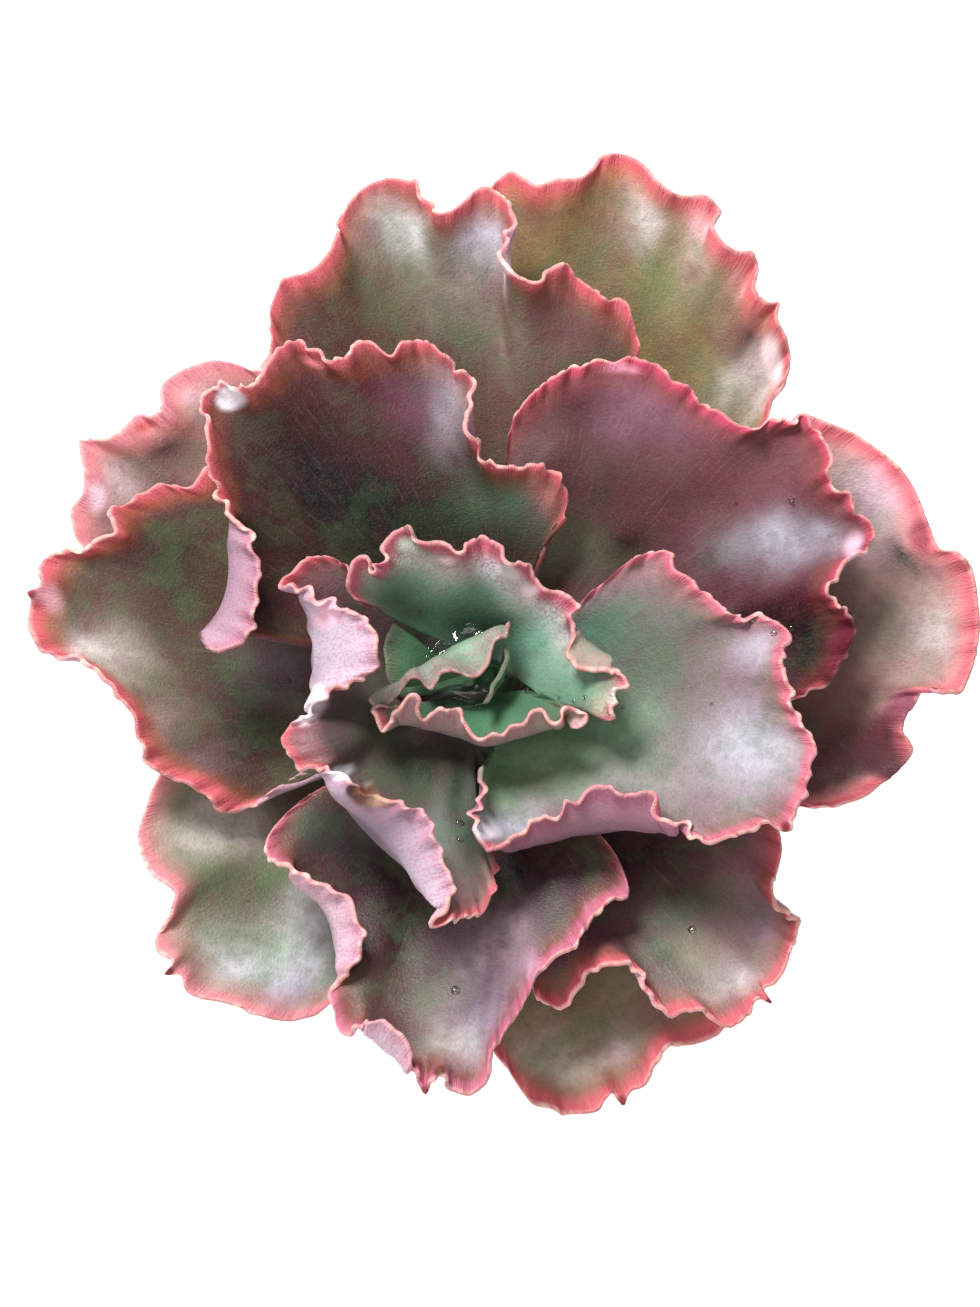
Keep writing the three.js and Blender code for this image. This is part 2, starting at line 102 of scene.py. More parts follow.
class Wire:
    """A node's output, on which an expression adds Math nodes."""

    def __init__(self, socket):
        self.socket = socket
        self.tree = socket.id_data

    def maths(self, operation, *values):
        return add(self.tree, "ShaderNodeMath", {"operation": operation}, dict(enumerate(values)))

    def __add__(self, other):
        return self.maths("ADD", self, other)

    def __sub__(self, other):
        return self.maths("SUBTRACT", self, other)

    def __mul__(self, other):
        return self.maths("MULTIPLY", self, other)

    def __rsub__(self, other):
        return self.maths("SUBTRACT", other, self)

    __radd__ = __add__
    __rmul__ = __mul__

    def rise(self, low, high):
        """0 below low and 1 above high, with a smooth rise between them."""
        settings = {"interpolation_type": "SMOOTHSTEP"}
        return add(self.tree, "ShaderNodeMapRange", settings, {0: self, 1: low, 2: high})

    def fall(self, low, high):
        """1 below low and 0 above high."""
        return 1 - self.rise(low, high)


def mix(share, first, second):
    """The colour first, turned into second by a share from 0 to 1."""
    return add(share.tree, "ShaderNodeMix", {"data_type": "RGBA"}, {0: share, 6: first, 7: second}, 2)


def coats(colour, *layers):
    """A colour under some thin coats, each given as its share and its own colour."""
    for share, coat in layers:
        colour = mix(share, colour, coat)
    return colour


def grain(tree, place, scale, detail=2.0, rough=0.5):
    """Noise from 0 to 1 with so many features to the metre."""
    inputs = {"Vector": place, "Scale": scale, "Detail": detail, "Roughness": rough}
    return add(tree, "ShaderNodeTexNoise", inputs=inputs)


def height_of(tree, place):
    """How high above the floor each point of a piece is, in metres."""
    return add(tree, "ShaderNodeSeparateXYZ", inputs={0: place}, output=2)


def finish(name, values, shader="Principled BSDF", kind=bpy.data.materials):
    """A new material, or world, with sockets of its shader node set by their names."""
    made = kind.new(name)
    made.use_nodes = True
    for socket, value in values.items():
        made.node_tree.nodes[shader].inputs[socket].default_value = value
    return made


def surface(name, bump_mm, build, values=None):
    """A material whose build function returns its colour, roughness and height from 0 to 1."""
    material = finish(name, values or {})
    tree = material.node_tree
    skin = tree.nodes["Principled BSDF"]
    place = add(tree, "ShaderNodeTexCoord", output=3)
    colour, rough, height = build(tree, place)
    bump = add(tree, "ShaderNodeBump", inputs={"Height": height, "Distance": bump_mm * MM, "Strength": 1.0})
    for socket, wire in (("Base Color", colour), ("Roughness", rough), ("Normal", bump)):
        tree.links.new(wire.socket, skin.inputs[socket])
    return material


def piece(name, bm, material, node=None):
    """Makes a bmesh into a named piece of the plant, which rides on the root body."""
    mesh = bpy.data.meshes.new(name)
    bm.to_mesh(mesh)
    bm.free()
    mesh.shade_smooth()
    mesh.materials.append(material)
    made = bpy.data.objects.new(name, mesh)
    bpy.context.scene.collection.objects.link(made)
    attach(made, "root")
    if node:
        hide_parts(node)
    return made


def turned(profile, sides):
    """A solid of revolution about the pot's axis, from a profile of (radius, height) in mm."""
    bm = bmesh.new()
    verts = [bm.verts.new((POT_AXIS.x + radius * MM, POT_AXIS.y, height * MM)) for radius, height in profile]
    edges = [bm.edges.new(pair) for pair in zip(verts, verts[1:])]
    axis = dict(cent=(POT_AXIS.x, POT_AXIS.y, 0), axis=(0, 0, 1))
    bmesh.ops.spin(bm, geom=verts + edges, angle=math.tau, steps=sides, use_merge=True, **axis)
    bmesh.ops.remove_doubles(bm, verts=bm.verts, dist=SEAM_MM * MM)
    bmesh.ops.recalc_face_normals(bm, faces=bm.faces)
    return bm


def from_axis(point):
    """The level arrow to a point from the pot's axis."""
    return Vector((point.x - POT_AXIS.x, point.y - POT_AXIS.y, 0))


def rounded(corners, radius_mm, steps=5):
    """The corners of a profile, each inner one replaced by a short arc that takes less than half of a side."""
    points = [corners[0]]
    for before, corner, after in zip(corners, corners[1:], corners[2:]):
        before, corner, after = (np.array(p, float) for p in (before, corner, after))
        back, on = np.linalg.norm(before - corner), np.linalg.norm(after - corner)
        reach = min(radius_mm, back / ARCS_PER_SIDE, on / ARCS_PER_SIDE)
        start = corner + (before - corner) * reach / back
        stop = corner + (after - corner) * reach / on
        for step in range(steps + 1):
            t = step / steps
            points.append(tuple((1 - t) ** 2 * start + 2 * t * (1 - t) * corner + t * t * stop))
    return points + [corners[-1]]


def subdivided(points, longest_mm):
    """The same profile with no stretch longer than a length, so that its surface can be shaped."""
    line = [points[0]]
    for start, stop in zip(points, points[1:]):
        count = max(1, math.ceil(math.dist(start, stop) / longest_mm))
        line += [tuple(np.array(start) + (np.array(stop) - start) * k / count) for k in range(1, count + 1)]
    return line


def clay_look(tree, place):
    """Sandy clay, paler low down where lime has dried on it."""
    coarse = grain(tree, place, 38, 4)
    fine = grain(tree, place, 900, 3)
    grit = grain(tree, place, 2600, 1)
    damp = grain(tree, place, 60, 5, 0.65) - height_of(tree, place) * 3.5
    colour = coats(
        CLAY,
        (coarse.rise(0.3, 0.75) * 0.45, CLAY_DARK),
        (grit.rise(0.62, 0.7) * 0.5, CLAY_SAND),
        (damp.rise(0.42, 0.62) * fine.rise(0.4, 0.6) * 0.55, LIME),
    )
    return colour, 0.8 + 0.12 * fine, fine * 0.6 + grit * 0.4


# The profile starts and ends at one point in the wall of the drain hole, so that the turned shell closes.
pot_profile = rounded([
    (DRAIN_RADIUS_MM + SEAM_MM, FLOOR_MM / 2),
    (DRAIN_RADIUS_MM, 0),
    (FOOT_RADIUS_MM, 0),
    (POT_RADIUS_MM - BAND_STEP_MM, BAND_FOOT_MM),
    (POT_RADIUS_MM - BAND_LEAN_MM, BAND_FOOT_MM),
    (POT_RADIUS_MM, POT_HEIGHT_MM - LIP_MM),
    (POT_RADIUS_MM - LIP_MM, POT_HEIGHT_MM),
    (POT_RADIUS_MM - WALL_MM - BAND_LEAN_MM, POT_HEIGHT_MM),
    (POT_RADIUS_MM - WALL_MM - 2 * BAND_LEAN_MM, POT_HEIGHT_MM - LIP_MM),
    (POT_RADIUS_MM - BAND_STEP_MM - WALL_MM - BAND_LEAN_MM, BAND_FOOT_MM),
    (FOOT_RADIUS_MM - WALL_MM, FLOOR_MM),
    (DRAIN_RADIUS_MM, FLOOR_MM),
    (DRAIN_RADIUS_MM + SEAM_MM, FLOOR_MM / 2),
], EDGE_ROUND_MM)
pot_bm = turned(subdivided(pot_profile, POT_MESH_MM), POT_SIDES)
for vert in pot_bm.verts:
    # Throwing leaves faint rings, and firing draws the round a hair out of true.
    rings = THROWING_RING_MM * math.sin(vert.co.z / MM * RING_RADIANS)
    wobble = rings + OUT_OF_TRUE_MM * noise.noise(vert.co * 30)
    vert.co += from_axis(vert.co).normalized() * wobble * MM
piece("clay_pot", pot_bm, surface("fired_clay", 0.25, clay_look), "pot")


# The potting mix: dark crumbly compost with pale pumice and bark grit, filling the pot to just under the
# middle of its band. It is poured in loose and firmed round the trunk, which stands in a hole in it.
SOIL_LOW, SOIL_HIGH = (Vector(corner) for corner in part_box("soil"))
SOIL_LEVEL_MM = SOIL_HIGH.z / MM
SOIL_RADIUS_MM = (SOIL_HIGH.x - SOIL_LOW.x) / 2 / MM
SOIL_BOTTOM_MM = SOIL_LOW.z / MM
SOIL_GAP_MM = 0.3
SOIL_FOOT_RADIUS_MM = FOOT_RADIUS_MM - WALL_MM - SOIL_GAP_MM
SOIL_EDGE_MM = 2
LEVEL_SHARE = 0.6
LOOSE_DEPTH_MM = 6
TRUNK_HOLE_MM = 11.3
HOLE_FLOOR_MM = 64.7
CRUMB_MM = 1.1
CRUMBS_PER_METRE = 260
SOIL_MESH_MM = 1.6
SOIL_SIDES = 150
GRIT_SEED = 11
GRIT_COUNT = 260
GRIT_RADIUS_MM = (0.9, 2.4)
GRIT_FLATNESS = (0.5, 0.9)
GRIT_PROUD = 0.1
GRIT_CHIPPING = 0.5
NEAREST_GRIT_MM = TRUNK_HOLE_MM + 3
FARTHEST_GRIT_MM = SOIL_RADIUS_MM - 4
COMPOST_DARK = paint(34, 24, 18)
COMPOST = paint(84, 62, 46)
BARK_BIT = paint(128, 98, 70)
PUMICE = paint(196, 186, 166)
BARK_CHIP = paint(150, 118, 88)


def soil_look(tree, place):
    """Dark crumbs with a few paler bits of bark."""
    crumbs = grain(tree, place, 420, 5, 0.7)
    bits = add(tree, "ShaderNodeTexVoronoi", inputs={"Vector": place, "Scale": 260.0}, output=1)
    pick = add(tree, "ShaderNodeSeparateColor", inputs={0: bits})
    colour = coats(COMPOST_DARK, (crumbs.rise(0.3, 0.7), COMPOST), (pick.rise(0.86, 0.9) * 0.8, BARK_BIT))
    return colour, 0.9 + 0.08 * crumbs, crumbs


soil_profile = subdivided([
    (0, SOIL_BOTTOM_MM),
    (SOIL_FOOT_RADIUS_MM, SOIL_BOTTOM_MM),
    (SOIL_RADIUS_MM - SOIL_EDGE_MM, BAND_FOOT_MM),
    (SOIL_RADIUS_MM, SOIL_LEVEL_MM - SOIL_EDGE_MM),
    (SOIL_RADIUS_MM * LEVEL_SHARE, SOIL_LEVEL_MM),
    (TRUNK_HOLE_MM, SOIL_LEVEL_MM),
    (TRUNK_HOLE_MM, HOLE_FLOOR_MM),
    (0, HOLE_FLOOR_MM),
], SOIL_MESH_MM)
soil_bm = turned(soil_profile, SOIL_SIDES)
for vert in soil_bm.verts:
    if vert.co.z > (SOIL_LEVEL_MM - LOOSE_DEPTH_MM) * MM:
        vert.co.z += CRUMB_MM * MM * (noise.fractal(vert.co * CRUMBS_PER_METRE, 0.8, 2.0, 4) - 0.2)
piece("potting_mix", soil_bm, surface("potting_mix", 0.8, soil_look), "soil")


def grit_look(tree, place):
    """Pale pumice, with some stones the colour of bark."""
    tint = grain(tree, place, 140, 1)
    pores = grain(tree, place, 1500, 3)
    colour = mix(tint.rise(0.45, 0.55), PUMICE, BARK_CHIP)
    return colour, 0.8 + 0.1 * pores, pores


draw = np.random.default_rng(GRIT_SEED)
grit_bm = bmesh.new()
for _ in range(GRIT_COUNT):
    out = math.sqrt(draw.uniform(NEAREST_GRIT_MM ** 2, FARTHEST_GRIT_MM ** 2))
    turn = draw.uniform(0, math.tau)
    size = draw.uniform(*GRIT_RADIUS_MM) * MM
    stone = bmesh.ops.create_icosphere(grit_bm, subdivisions=1, radius=size)["verts"]
    flat = draw.uniform(*GRIT_FLATNESS)
    centre = POT_AXIS + Vector((math.cos(turn), math.sin(turn), 0)) * out * MM
    centre.z = SOIL_LEVEL_MM * MM + size * GRIT_PROUD
    for vert in stone:
        chipped = 1 + GRIT_CHIPPING * noise.noise(vert.co * 900 + centre * 99)
        vert.co = Vector((vert.co.x, vert.co.y * flat, vert.co.z * flat)) * chipped
        vert.co += centre
piece("pumice_grit", grit_bm, surface("pumice_grit", 0.2, grit_look))


# The trunk: a short stout stem, green-brown and corky, ringed with the scars of shed leaves.
# It grows from the roots in the mix and narrows to the growing point, which is the crown of the rosette.
TRUNK_LOW, TRUNK_HIGH = (Vector(corner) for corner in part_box("trunk"))
TRUNK_RADIUS_MM = (TRUNK_HIGH.x - TRUNK_LOW.x) / 2 / MM
TRUNK_FOOT_MM = TRUNK_LOW.z / MM
TRUNK_TIP_MM = TRUNK_HIGH.z / MM
CROWN_RADIUS_MM = 1.6
TIP_HEIGHT_MM = 0.8
TAPER_MM = 21.6
SCAR_PITCH_MM = 4.5
SCARS_PER_TURN = 2.57
SCAR_WIDTH = 0.16
SCAR_PROUD_MM = 0.5
BARK_DEPTH_MM = 0.55
PLAIN_TIP_MM = 2
TRUNK_MESH_MM = 0.9
TRUNK_SIDES = 96
YOUNG_WOOD = (0.022, 0.008)
CORK = paint(126, 108, 80)
CORK_GREEN = paint(98, 106, 72)
CORK_DARK = paint(74, 58, 42)
SHOOT = paint(58, 92, 62)


def bark_look(tree, place):
    """Patchy green-brown cork, turning green towards the growing point."""
    cork = grain(tree, place, 300, 5, 0.7)
    patch = grain(tree, place, 70, 3)
    low, high = (TRUNK_TIP_MM * MM - below for below in YOUNG_WOOD)
    colour = coats(
        CORK,
        (patch.rise(0.4, 0.62), CORK_GREEN),
        (cork.rise(0.5, 0.7) * 0.7, CORK_DARK),
        (height_of(tree, place).rise(low, high), SHOOT),
    )
    return colour, 0.8 + 0.1 * cork, cork


trunk_profile = subdivided([
    (0, TRUNK_FOOT_MM),
    (TRUNK_RADIUS_MM, TRUNK_FOOT_MM),
    (TRUNK_RADIUS_MM, TRUNK_TIP_MM - TIP_HEIGHT_MM - TAPER_MM),
    (CROWN_RADIUS_MM, TRUNK_TIP_MM - TIP_HEIGHT_MM),
    (0, TRUNK_TIP_MM),
], TRUNK_MESH_MM)
trunk_bm = turned(trunk_profile, TRUNK_SIDES)
for vert in trunk_bm.verts:
    radial = from_axis(vert.co)
    turn = math.atan2(radial.y, radial.x)
    spiral = (vert.co.z / MM / SCAR_PITCH_MM + SCARS_PER_TURN * turn / math.tau) % 1
    ridge = math.exp(-((spiral - 0.5) / SCAR_WIDTH) ** 2) * (0.7 + 0.3 * math.sin(5 * turn))
    bulge = 0.5 * noise.noise(vert.co * 120)
    if radial.length > PLAIN_TIP_MM * MM:
        vert.co -= radial.normalized() * (BARK_DEPTH_MM - SCAR_PROUD_MM * ridge - bulge * 0.6) * MM
piece("stem", trunk_bm, surface("corky_bark", 0.4, bark_look), "trunk")


# The leaves: thick fleshy blades, each grown from the stem a little above the last and 140 degrees round it.
# They are waxy water-filled flesh, green within and mauve where the sun reaches them, with a thin rounded
# margin that grows faster than the blade, so that it crinkles and rolls.
DEEP_GREEN = (38, 72, 52)
# A bluish white: partly the leaves' wax bloom, partly painted sheen, a painted reflection of the bright light
# on crests and folds.
BLOOM_AND_SHEEN = (214, 212, 226)
# What a leaf has where its own entry says nothing else. Colours are red, green and blue from 0 to 255.
# In degrees: slope, its rise from level; turn, its turn from its place in the spiral; spread, half the angle
# that its root spans. In mm: sag, how far its middle hangs; drop, how much lower it sits on the trunk.
# Against a full leaf's: girth, ruffle and rim_width. From 0 to 1: glow, shine and the words in ed.
USUAL = dict(
    sag=2, turn=0, spread=36, drop=0, girth=1, ruffle=0.6, tip=None, glow=0.7, blushed=1, rim_width=1,
    stained=0.35, dappled=0.25, freckled=0, shine=0.4, stain=(92, 44, 52), dapple=(78, 106, 66),
    back=(226, 196, 210), inner_back=(128, 104, 108), blush=(222, 104, 116), back_blush=(206, 88, 124),
    glow_colour=(176, 80, 66), rim=(), patches=(), over=(), back_patches=(),
)
# What the young leaves in the heart share.
INNER = dict(
    back=(166, 180, 150), inner_back=(96, 136, 104), back_blush=(206, 118, 140), blush=(212, 96, 124),
    rim_width=0.95, stained=0.06, dappled=0.15, stain=(110, 84, 84), freckled=0.6,
)
# Each leaf, with its places in mm across and up from the crown, as the camera sees them.
# order: its place in the spiral. tip: where it ends in a tiny point. rim: its edge with the ruffles.
# stations: its smooth edge, as (across, up, height above its slope). Where the edge rolls, the same three
# numbers of the fold follow, and the edge's own height is above the fold.
# patches: soft marks on its upper face, as (colour, across, up, half width, half height, strength).
# back_patches: the same for its lower face, and over: for both faces, on top of the rim.
# Some marks, noted at each leaf, are painted highlights, sheen or shade, or painted light that lifts shade.
LEAVES = [
    dict(INNER, name="leaf_00_heart", order=0, sag=0, slope=45, girth=0.5, ruffle=0.1,
         flesh=(70, 112, 80), back=(84, 128, 88), glow=0, blushed=0.05, stations=[
        (-1.8, -7.5, 3), (1, -3.5, 5), (3, 0, 6), (4.3, 3.5, 5), (3.5, 6.5, 3)
    ], rim=[
        (3.5, 6.1), (4, 3.5), (2.5, -0.2), (1, -2.9), (-0.5, -6.8), (-1.8, -7.5)
    ]),
    dict(INNER, name="leaf_01_hood", order=1, sag=0, slope=22, spread=26, girth=0.7, ruffle=0.4,
         flesh=(112, 158, 118), back=(130, 168, 142), glow=0.1, blushed=0.8, stations=[
        (4.5, 11.8, 6), (3.8, 8.1, 1, 2, 10.8, 9), (0.5, 4.8, 1, -3, 8.2, 10), (-0.5, 1, 0, -7, 6.2, 10),
        (-5.5, -0.9, 0, -10, 4.8, 9), (-10.8, -0.2, 0, -13, 3, 9), (-13.5, -3.9, 1, -15.8, 1.2, 8),
        (-17.5, -2.5, 0, -18, -0.2, 8), (-21, -6, 0, -21.2, -2.8, 7), (-25, -8.8, -1, -24.5, -4.5, 6),
        (-28.5, -7, 0, -27, -5, 5)
    ], rim=[
        (3.8, 8.1), (1.3, 7.1), (0.5, 4.8), (0, 2.1), (-1.5, -0.2), (-3.2, -1.5), (-5.5, -0.9),
        (-8.1, -0.2), (-10.8, -0.2), (-11.8, -1.5), (-13.1, -3.9), (-14.8, -3.9), (-16.4, -1.9),
        (-18.1, -1.5), (-19.8, -3.5), (-21.4, -5.5), (-23.1, -7.2), (-26.1, -8.8), (-28.7, -6.2)
    ], patches=[
        (DEEP_GREEN, -4, 3, 6, 3, 0.4)
    ], back_patches=[
        ((70, 104, 82), -23, -2.5, 6, 3, 0.85), ((112, 130, 122), -18, 0, 3, 3, 0.7),
        ((172, 212, 180), -4, 5, 4, 4, 0.5)
    ]),
    dict(INNER, name="leaf_02_inner_front", order=2, sag=0, slope=42, turn=6, spread=42, girth=0.8,
         ruffle=0.8, flesh=(84, 134, 98), back=(216, 182, 182), glow=0.15, blushed=0.9, stations=[
        (-21, -8, 0), (-27.5, -9.8, 0), (-25, -13.5, 0), (-21.5, -9.5, 4, -20.5, -12.3, 0),
        (-18, -6, 8, -17, -12.5, 0), (-15, -11, 5, -14, -13.5, 0), (-11.5, -8.5, 8, -10.5, -14, 0),
        (-7, -10, 8, -6.5, -15.5, 0), (-2, -14.5, 6, -2, -16.8, 0), (4, -14, 6, 4, -16, 0),
        (8, -11, 7, 9, -14.5, 0), (12, -8.5, 7, 13, -13, 0), (17, -11, 4, 17, -12.5, 0), (21, -9, 2),
        (22.5, -11, 0), (15, -6.4, 0), (8.5, -4.4, 0)
    ], rim=[
        (-28, -9.5), (-26.5, -12), (-25, -14.5), (-24, -11.5), (-22, -9), (-20, -6.5), (-18, -5),
        (-16.5, -6), (-17, -9), (-15.5, -11.5), (-13.5, -9), (-10, -8), (-8, -9), (-6, -12), (-3, -15),
        (0, -14.5), (3, -14.5), (5, -13), (7, -12), (9, -10), (12, -8.5), (14, -11), (17, -11),
        (19, -8.5), (21, -8.5), (23, -10), (22.5, -12), (20.5, -13.5)
    ], patches=[
        (DEEP_GREEN, -5, -6, 13, 4, 0.8), ((30, 44, 30), -11, -4, 6, 2, 0.8)
    ], back_patches=[
        ((176, 194, 152), 15, -10, 8, 4, 0.8), ((168, 186, 150), -25, -11, 3, 3, 0.6)
    ]),
    dict(INNER, name="leaf_03_inner_back", order=3, sag=0, slope=44, turn=18, spread=54, ruffle=1.0,
         flesh=(110, 152, 126), glow=0.2, blushed=0.95, stations=[
        (15, -9, -3), (24, -11, -1), (29, -11.5, 0), (31.5, -5, 2), (31.5, 0, 1),
        (27, 1, 3, 28.5, 4.2, 0), (22, 1.5, 4, 24.5, 5, 0), (19.5, 7, 4, 21.5, 9, 0), (19.5, 15.5, 1),
        (15, 19.5, 0), (9.5, 21.5, 3), (9, 26, 1), (4, 26.5, 5), (1, 30, 0), (-4, 31, -1), (-8, 28, 4),
        (-13, 30, 1), (-20, 34, -2), (-24.5, 28.5, 2), (-27, 23, 6), (-32, 25.5, 1), (-33.5, 20, 0),
        (-29, 16, 0), (-23, 12.5, 0)
    ], rim=[
        (-32, 17), (-33.5, 20), (-33, 23.5), (-31, 26.5), (-28, 25.5), (-25, 25.5), (-25, 29), (-24, 31),
        (-20, 34), (-18, 31.5), (-15, 30.5), (-11, 30), (-8, 28.5), (-6, 29), (-4.5, 31), (-1, 31),
        (2, 30), (3.5, 29), (3.5, 26.5), (6, 25), (9, 25.5), (10, 22.5), (12, 20.5), (15, 19), (18.5, 18),
        (19.5, 16), (20, 12), (19.5, 10), (18, 4), (20, 0), (22.5, 0.5), (26, 0), (30, 0), (31.5, -2),
        (30, -5), (28.5, -8), (29, -11), (26, -10.5), (24.5, -7)
    ], patches=[
        # The first four, pale patches along its upper back wall, are partly its own pale colour and partly
        # painted light that lifts the shade on that steep wall.
        ((212, 222, 206), -18, 27, 9, 5, 0.8), ((230, 200, 196), -7, 26, 9, 4, 0.75),
        ((238, 232, 240), 3, 23, 7, 4, 0.85), ((250, 224, 226), 12, 19, 7, 6, 0.85),
        ((240, 222, 222), 18, 9, 4, 6, 0.7), ((150, 190, 164), 17, 1, 7, 5, 0.6),
        ((232, 238, 204), 28, -7, 4, 4, 0.85), ((206, 232, 226), 12, 12, 4, 5, 0.6),
        ((134, 196, 170), 8, 6, 5, 4, 0.6), (DEEP_GREEN, -4, 10, 10, 5, 0.95),
        ((48, 70, 56), -18, 15, 9, 3, 0.85), ((30, 48, 40), 0, 13, 4, 3, 0.7)
    ], over=[
        # These pale marks are partly its own pale rim colour and partly painted light that lifts the shade on
        # its steep back wall.
        ((255, 238, 242), 5, 23.2, 3.6, 2, 0.75), ((252, 228, 236), 9.6, 19.4, 3, 2.4, 0.7),
        ((252, 216, 216), -10, 26.6, 4, 1.5, 0.6), ((234, 248, 228), -19, 29, 4, 2.4, 0.65),
        ((240, 242, 226), 29, -5, 3, 3, 0.6)
    ]),
    dict(name="leaf_04_left_cup", order=4, ruffle=1.2, flesh=(150, 108, 118), back=(228, 208, 224),
         glow=0.3, rim_width=0.7, stained=0.2, stations=[
        (-25.5, 20, 0), (-33.5, 26, 0), (-41, 27, 0), (-46, 24, 0), (-48.5, 20.5, 1),
        (-42, 19, 6, -45, 17.5, 0), (-35, 17, 9, -43, 12, 0), (-28, 11, 12, -41.5, 7, 0),
        (-26, 3, 12, -41.5, 1, 0), (-32, -3, 8, -42.5, -4, 0), (-39, -5.5, 5, -43.5, -7, 1),
        (-46.5, -12, 0, -40, -11.5, 3), (-49, -17, -1, -38.5, -15, 5), (-44.5, -21, 0, -36.5, -18.5, 5),
        (-37, -23.5, 4, -39, -24, 2), (-30.5, -27.5, 8, -38, -28, 0), (-24, -30, 9, -32.5, -33, 0),
        (-17, -32, 10, -27, -38.5, 0), (-13, -39, 9, -22, -43.5, 0), (-10, -47, 7, -17.5, -49.5, 0),
        (-10.5, -54, 4, -14, -54.5, 0), (-12, -59, 0), (-8, -57.5, -1), (-3, -57, 5, -5, -46, -2),
        (1, -50, 5, -3, -39.5, -4.4), (-0.5, -43, 2, -3.5, -33, -6.6), (-1.5, -34, -1, -4.5, -26.5, -6.7),
        (-1, -26, -1, -4.5, -20, -5.7), (1, -18.5, -2, -2, -13.8, -4.6)
    ], rim=[
        (-33, 24), (-35, 26), (-40, 27), (-44, 26), (-46, 23.5), (-48.5, 21.5), (-45, 19), (-42, 19),
        (-40, 16.5), (-37, 17), (-34, 14.5), (-31, 14), (-28, 11), (-26, 8), (-25.5, 5), (-26.5, 2),
        (-27, 0), (-31, -2), (-35, -4), (-38, -5), (-41, -8), (-44, -10.5), (-47, -12.5), (-48.5, -16),
        (-47, -19), (-44, -22.5), (-39, -22.5), (-35, -23.5), (-32, -25.5), (-27, -29), (-24, -30),
        (-20, -30.5), (-17, -31.5), (-15, -33), (-13.5, -36), (-12, -39.5), (-11, -43), (-9.5, -46),
        (-8.5, -49), (-9, -52), (-10, -55), (-12.5, -59), (-9, -58.5), (-7, -57.5), (-5, -57),
        (-2, -56.5), (0, -53), (1, -49), (0.5, -45), (-1, -42)
    ], patches=[
        (DEEP_GREEN, -16, 6, 8, 8, 0.9), ((110, 146, 122), 0, -30, 8, 16, 0.95),
        ((52, 72, 54), -18, -22, 12, 14, 0.95), ((72, 92, 72), -28, -8, 8, 14, 0.85),
        ((60, 60, 58), -36, -13, 4, 6, 0.8), ((34, 62, 46), -8, -27, 2.5, 12, 0.9),
        ((124, 148, 138), -12, -38, 3, 7, 0.8), ((70, 96, 76), -5, -40, 3, 7, 0.9),
        ((168, 178, 152), 4, -50, 7, 6, 0.7)
    ], over=[
        # The second, near white at (-42, -8), is partly its own pale underside and partly painted light that
        # lifts the shade where the roll faces down and to the left.
        ((252, 246, 252), -34.4, -23, 4, 2.2, 0.95), ((255, 238, 244), -42, -8, 3.6, 5, 0.95),
        ((206, 162, 138), -26.6, -30.4, 3, 1.8, 0.9), ((104, 54, 38), -30, -29, 3, 2.2, 0.97),
        ((52, 28, 22), -32.4, -27.6, 1.5, 1.3, 0.97), ((250, 196, 214), -38, 14, 4, 4, 0.7)
    ], back_patches=[
        ((126, 112, 126), -27, -35, 14, 14, 0.9), ((170, 118, 128), -28, -30, 4, 2.5, 0.6),
        ((150, 128, 150), -38, -21, 5, 4, 0.6), ((216, 200, 218), -39, 8, 5, 12, 0.8)
    ]),
    dict(name="leaf_05_right_tongue", order=5, ruffle=1.2, tip=(69, -36), flesh=(152, 122, 130),
         blush=(222, 116, 138), back=(182, 134, 150), inner_back=(124, 122, 116), glow=0.3, rim_width=0.7,
         stained=0.15, stations=[
        (-2, -22, 13), (-2.3, -30, 14), (-3.6, -36, 14.6), (-1.5, -40, 12), (3, -41, 6, 4, -41.5, 4),
        (8, -37, 7, 9, -40.5, 0), (14, -32.5, 9, 16, -39, 0), (22, -27.5, 9, 24, -37.5, 0),
        (30, -28, 8, 31, -37, 0), (37, -29, 6, 38.5, -37, 0), (42, -35, 3, 43, -38, 0), (51, -39.5, 0),
        (59, -36.5, 1), (68, -34.5, -1), (73.5, -29, 0), (76, -19, -2), (72, -11, 1), (70, -3, 3),
        (67.5, 4, 5), (70, 9.5, 1), (65, 13, 1), (57, 12.5, 4), (50, 17.5, 3), (44, 24, 2), (41, 28, -1),
        (34, 26.5, 0), (26, 20, 0), (20, 15, 0)
    ], rim=[
        (20, 15), (24, 19), (28, 22), (31, 25), (34, 27), (38, 28), (42, 28), (42.5, 26), (43, 24),
        (46, 22.5), (49, 19.5), (52, 17), (56, 14), (60, 12.5), (65, 12.5), (68, 11), (70, 8.5), (70, 6),
        (68, 5), (68, 2), (69, 0), (70, -4), (70.5, -9), (73, -12), (75, -15), (76, -19), (74.5, -22),
        (74.5, -25), (73, -29), (72, -31.5), (69, -36), (66, -35.5), (62, -36.5), (58, -38), (54, -39),
        (51, -40), (48, -38.5), (45, -35.5), (42, -34.5), (39, -33), (38, -29), (36, -27.5), (32, -28.5),
        (28, -26.5), (24, -26.5), (21, -29), (19, -31.5), (16, -32.5), (12, -33.5), (9, -36), (6, -38),
        (3, -39), (2, -42), (-1, -41), (-3, -38), (-4, -37), (-3.5, -33.6), (-2.3, -29.8)
    ], patches=[
        (DEEP_GREEN, 4, -3, 10, 6, 0.9), ((70, 104, 76), 18, -14, 24, 15, 0.97),
        # The pale green at (2, -22) and at (31, -14) is partly its own green and partly painted light that
        # lifts the shadow cast by the inner leaves.
        ((146, 196, 148), 2, -22, 8, 9, 0.9), ((144, 176, 134), 17, -21, 12, 6, 0.85),
        ((128, 158, 132), 34, -13, 10, 8, 0.8), ((160, 204, 168), 31, -14, 5, 6, 0.8),
        ((132, 176, 156), 24, 9, 7, 6, 0.75), ((84, 116, 90), 40, 2, 10, 8, 0.8),
        ((84, 132, 106), 29, 10, 9, 8, 0.8), ((154, 136, 136), 50, -12, 8, 7, 0.75),
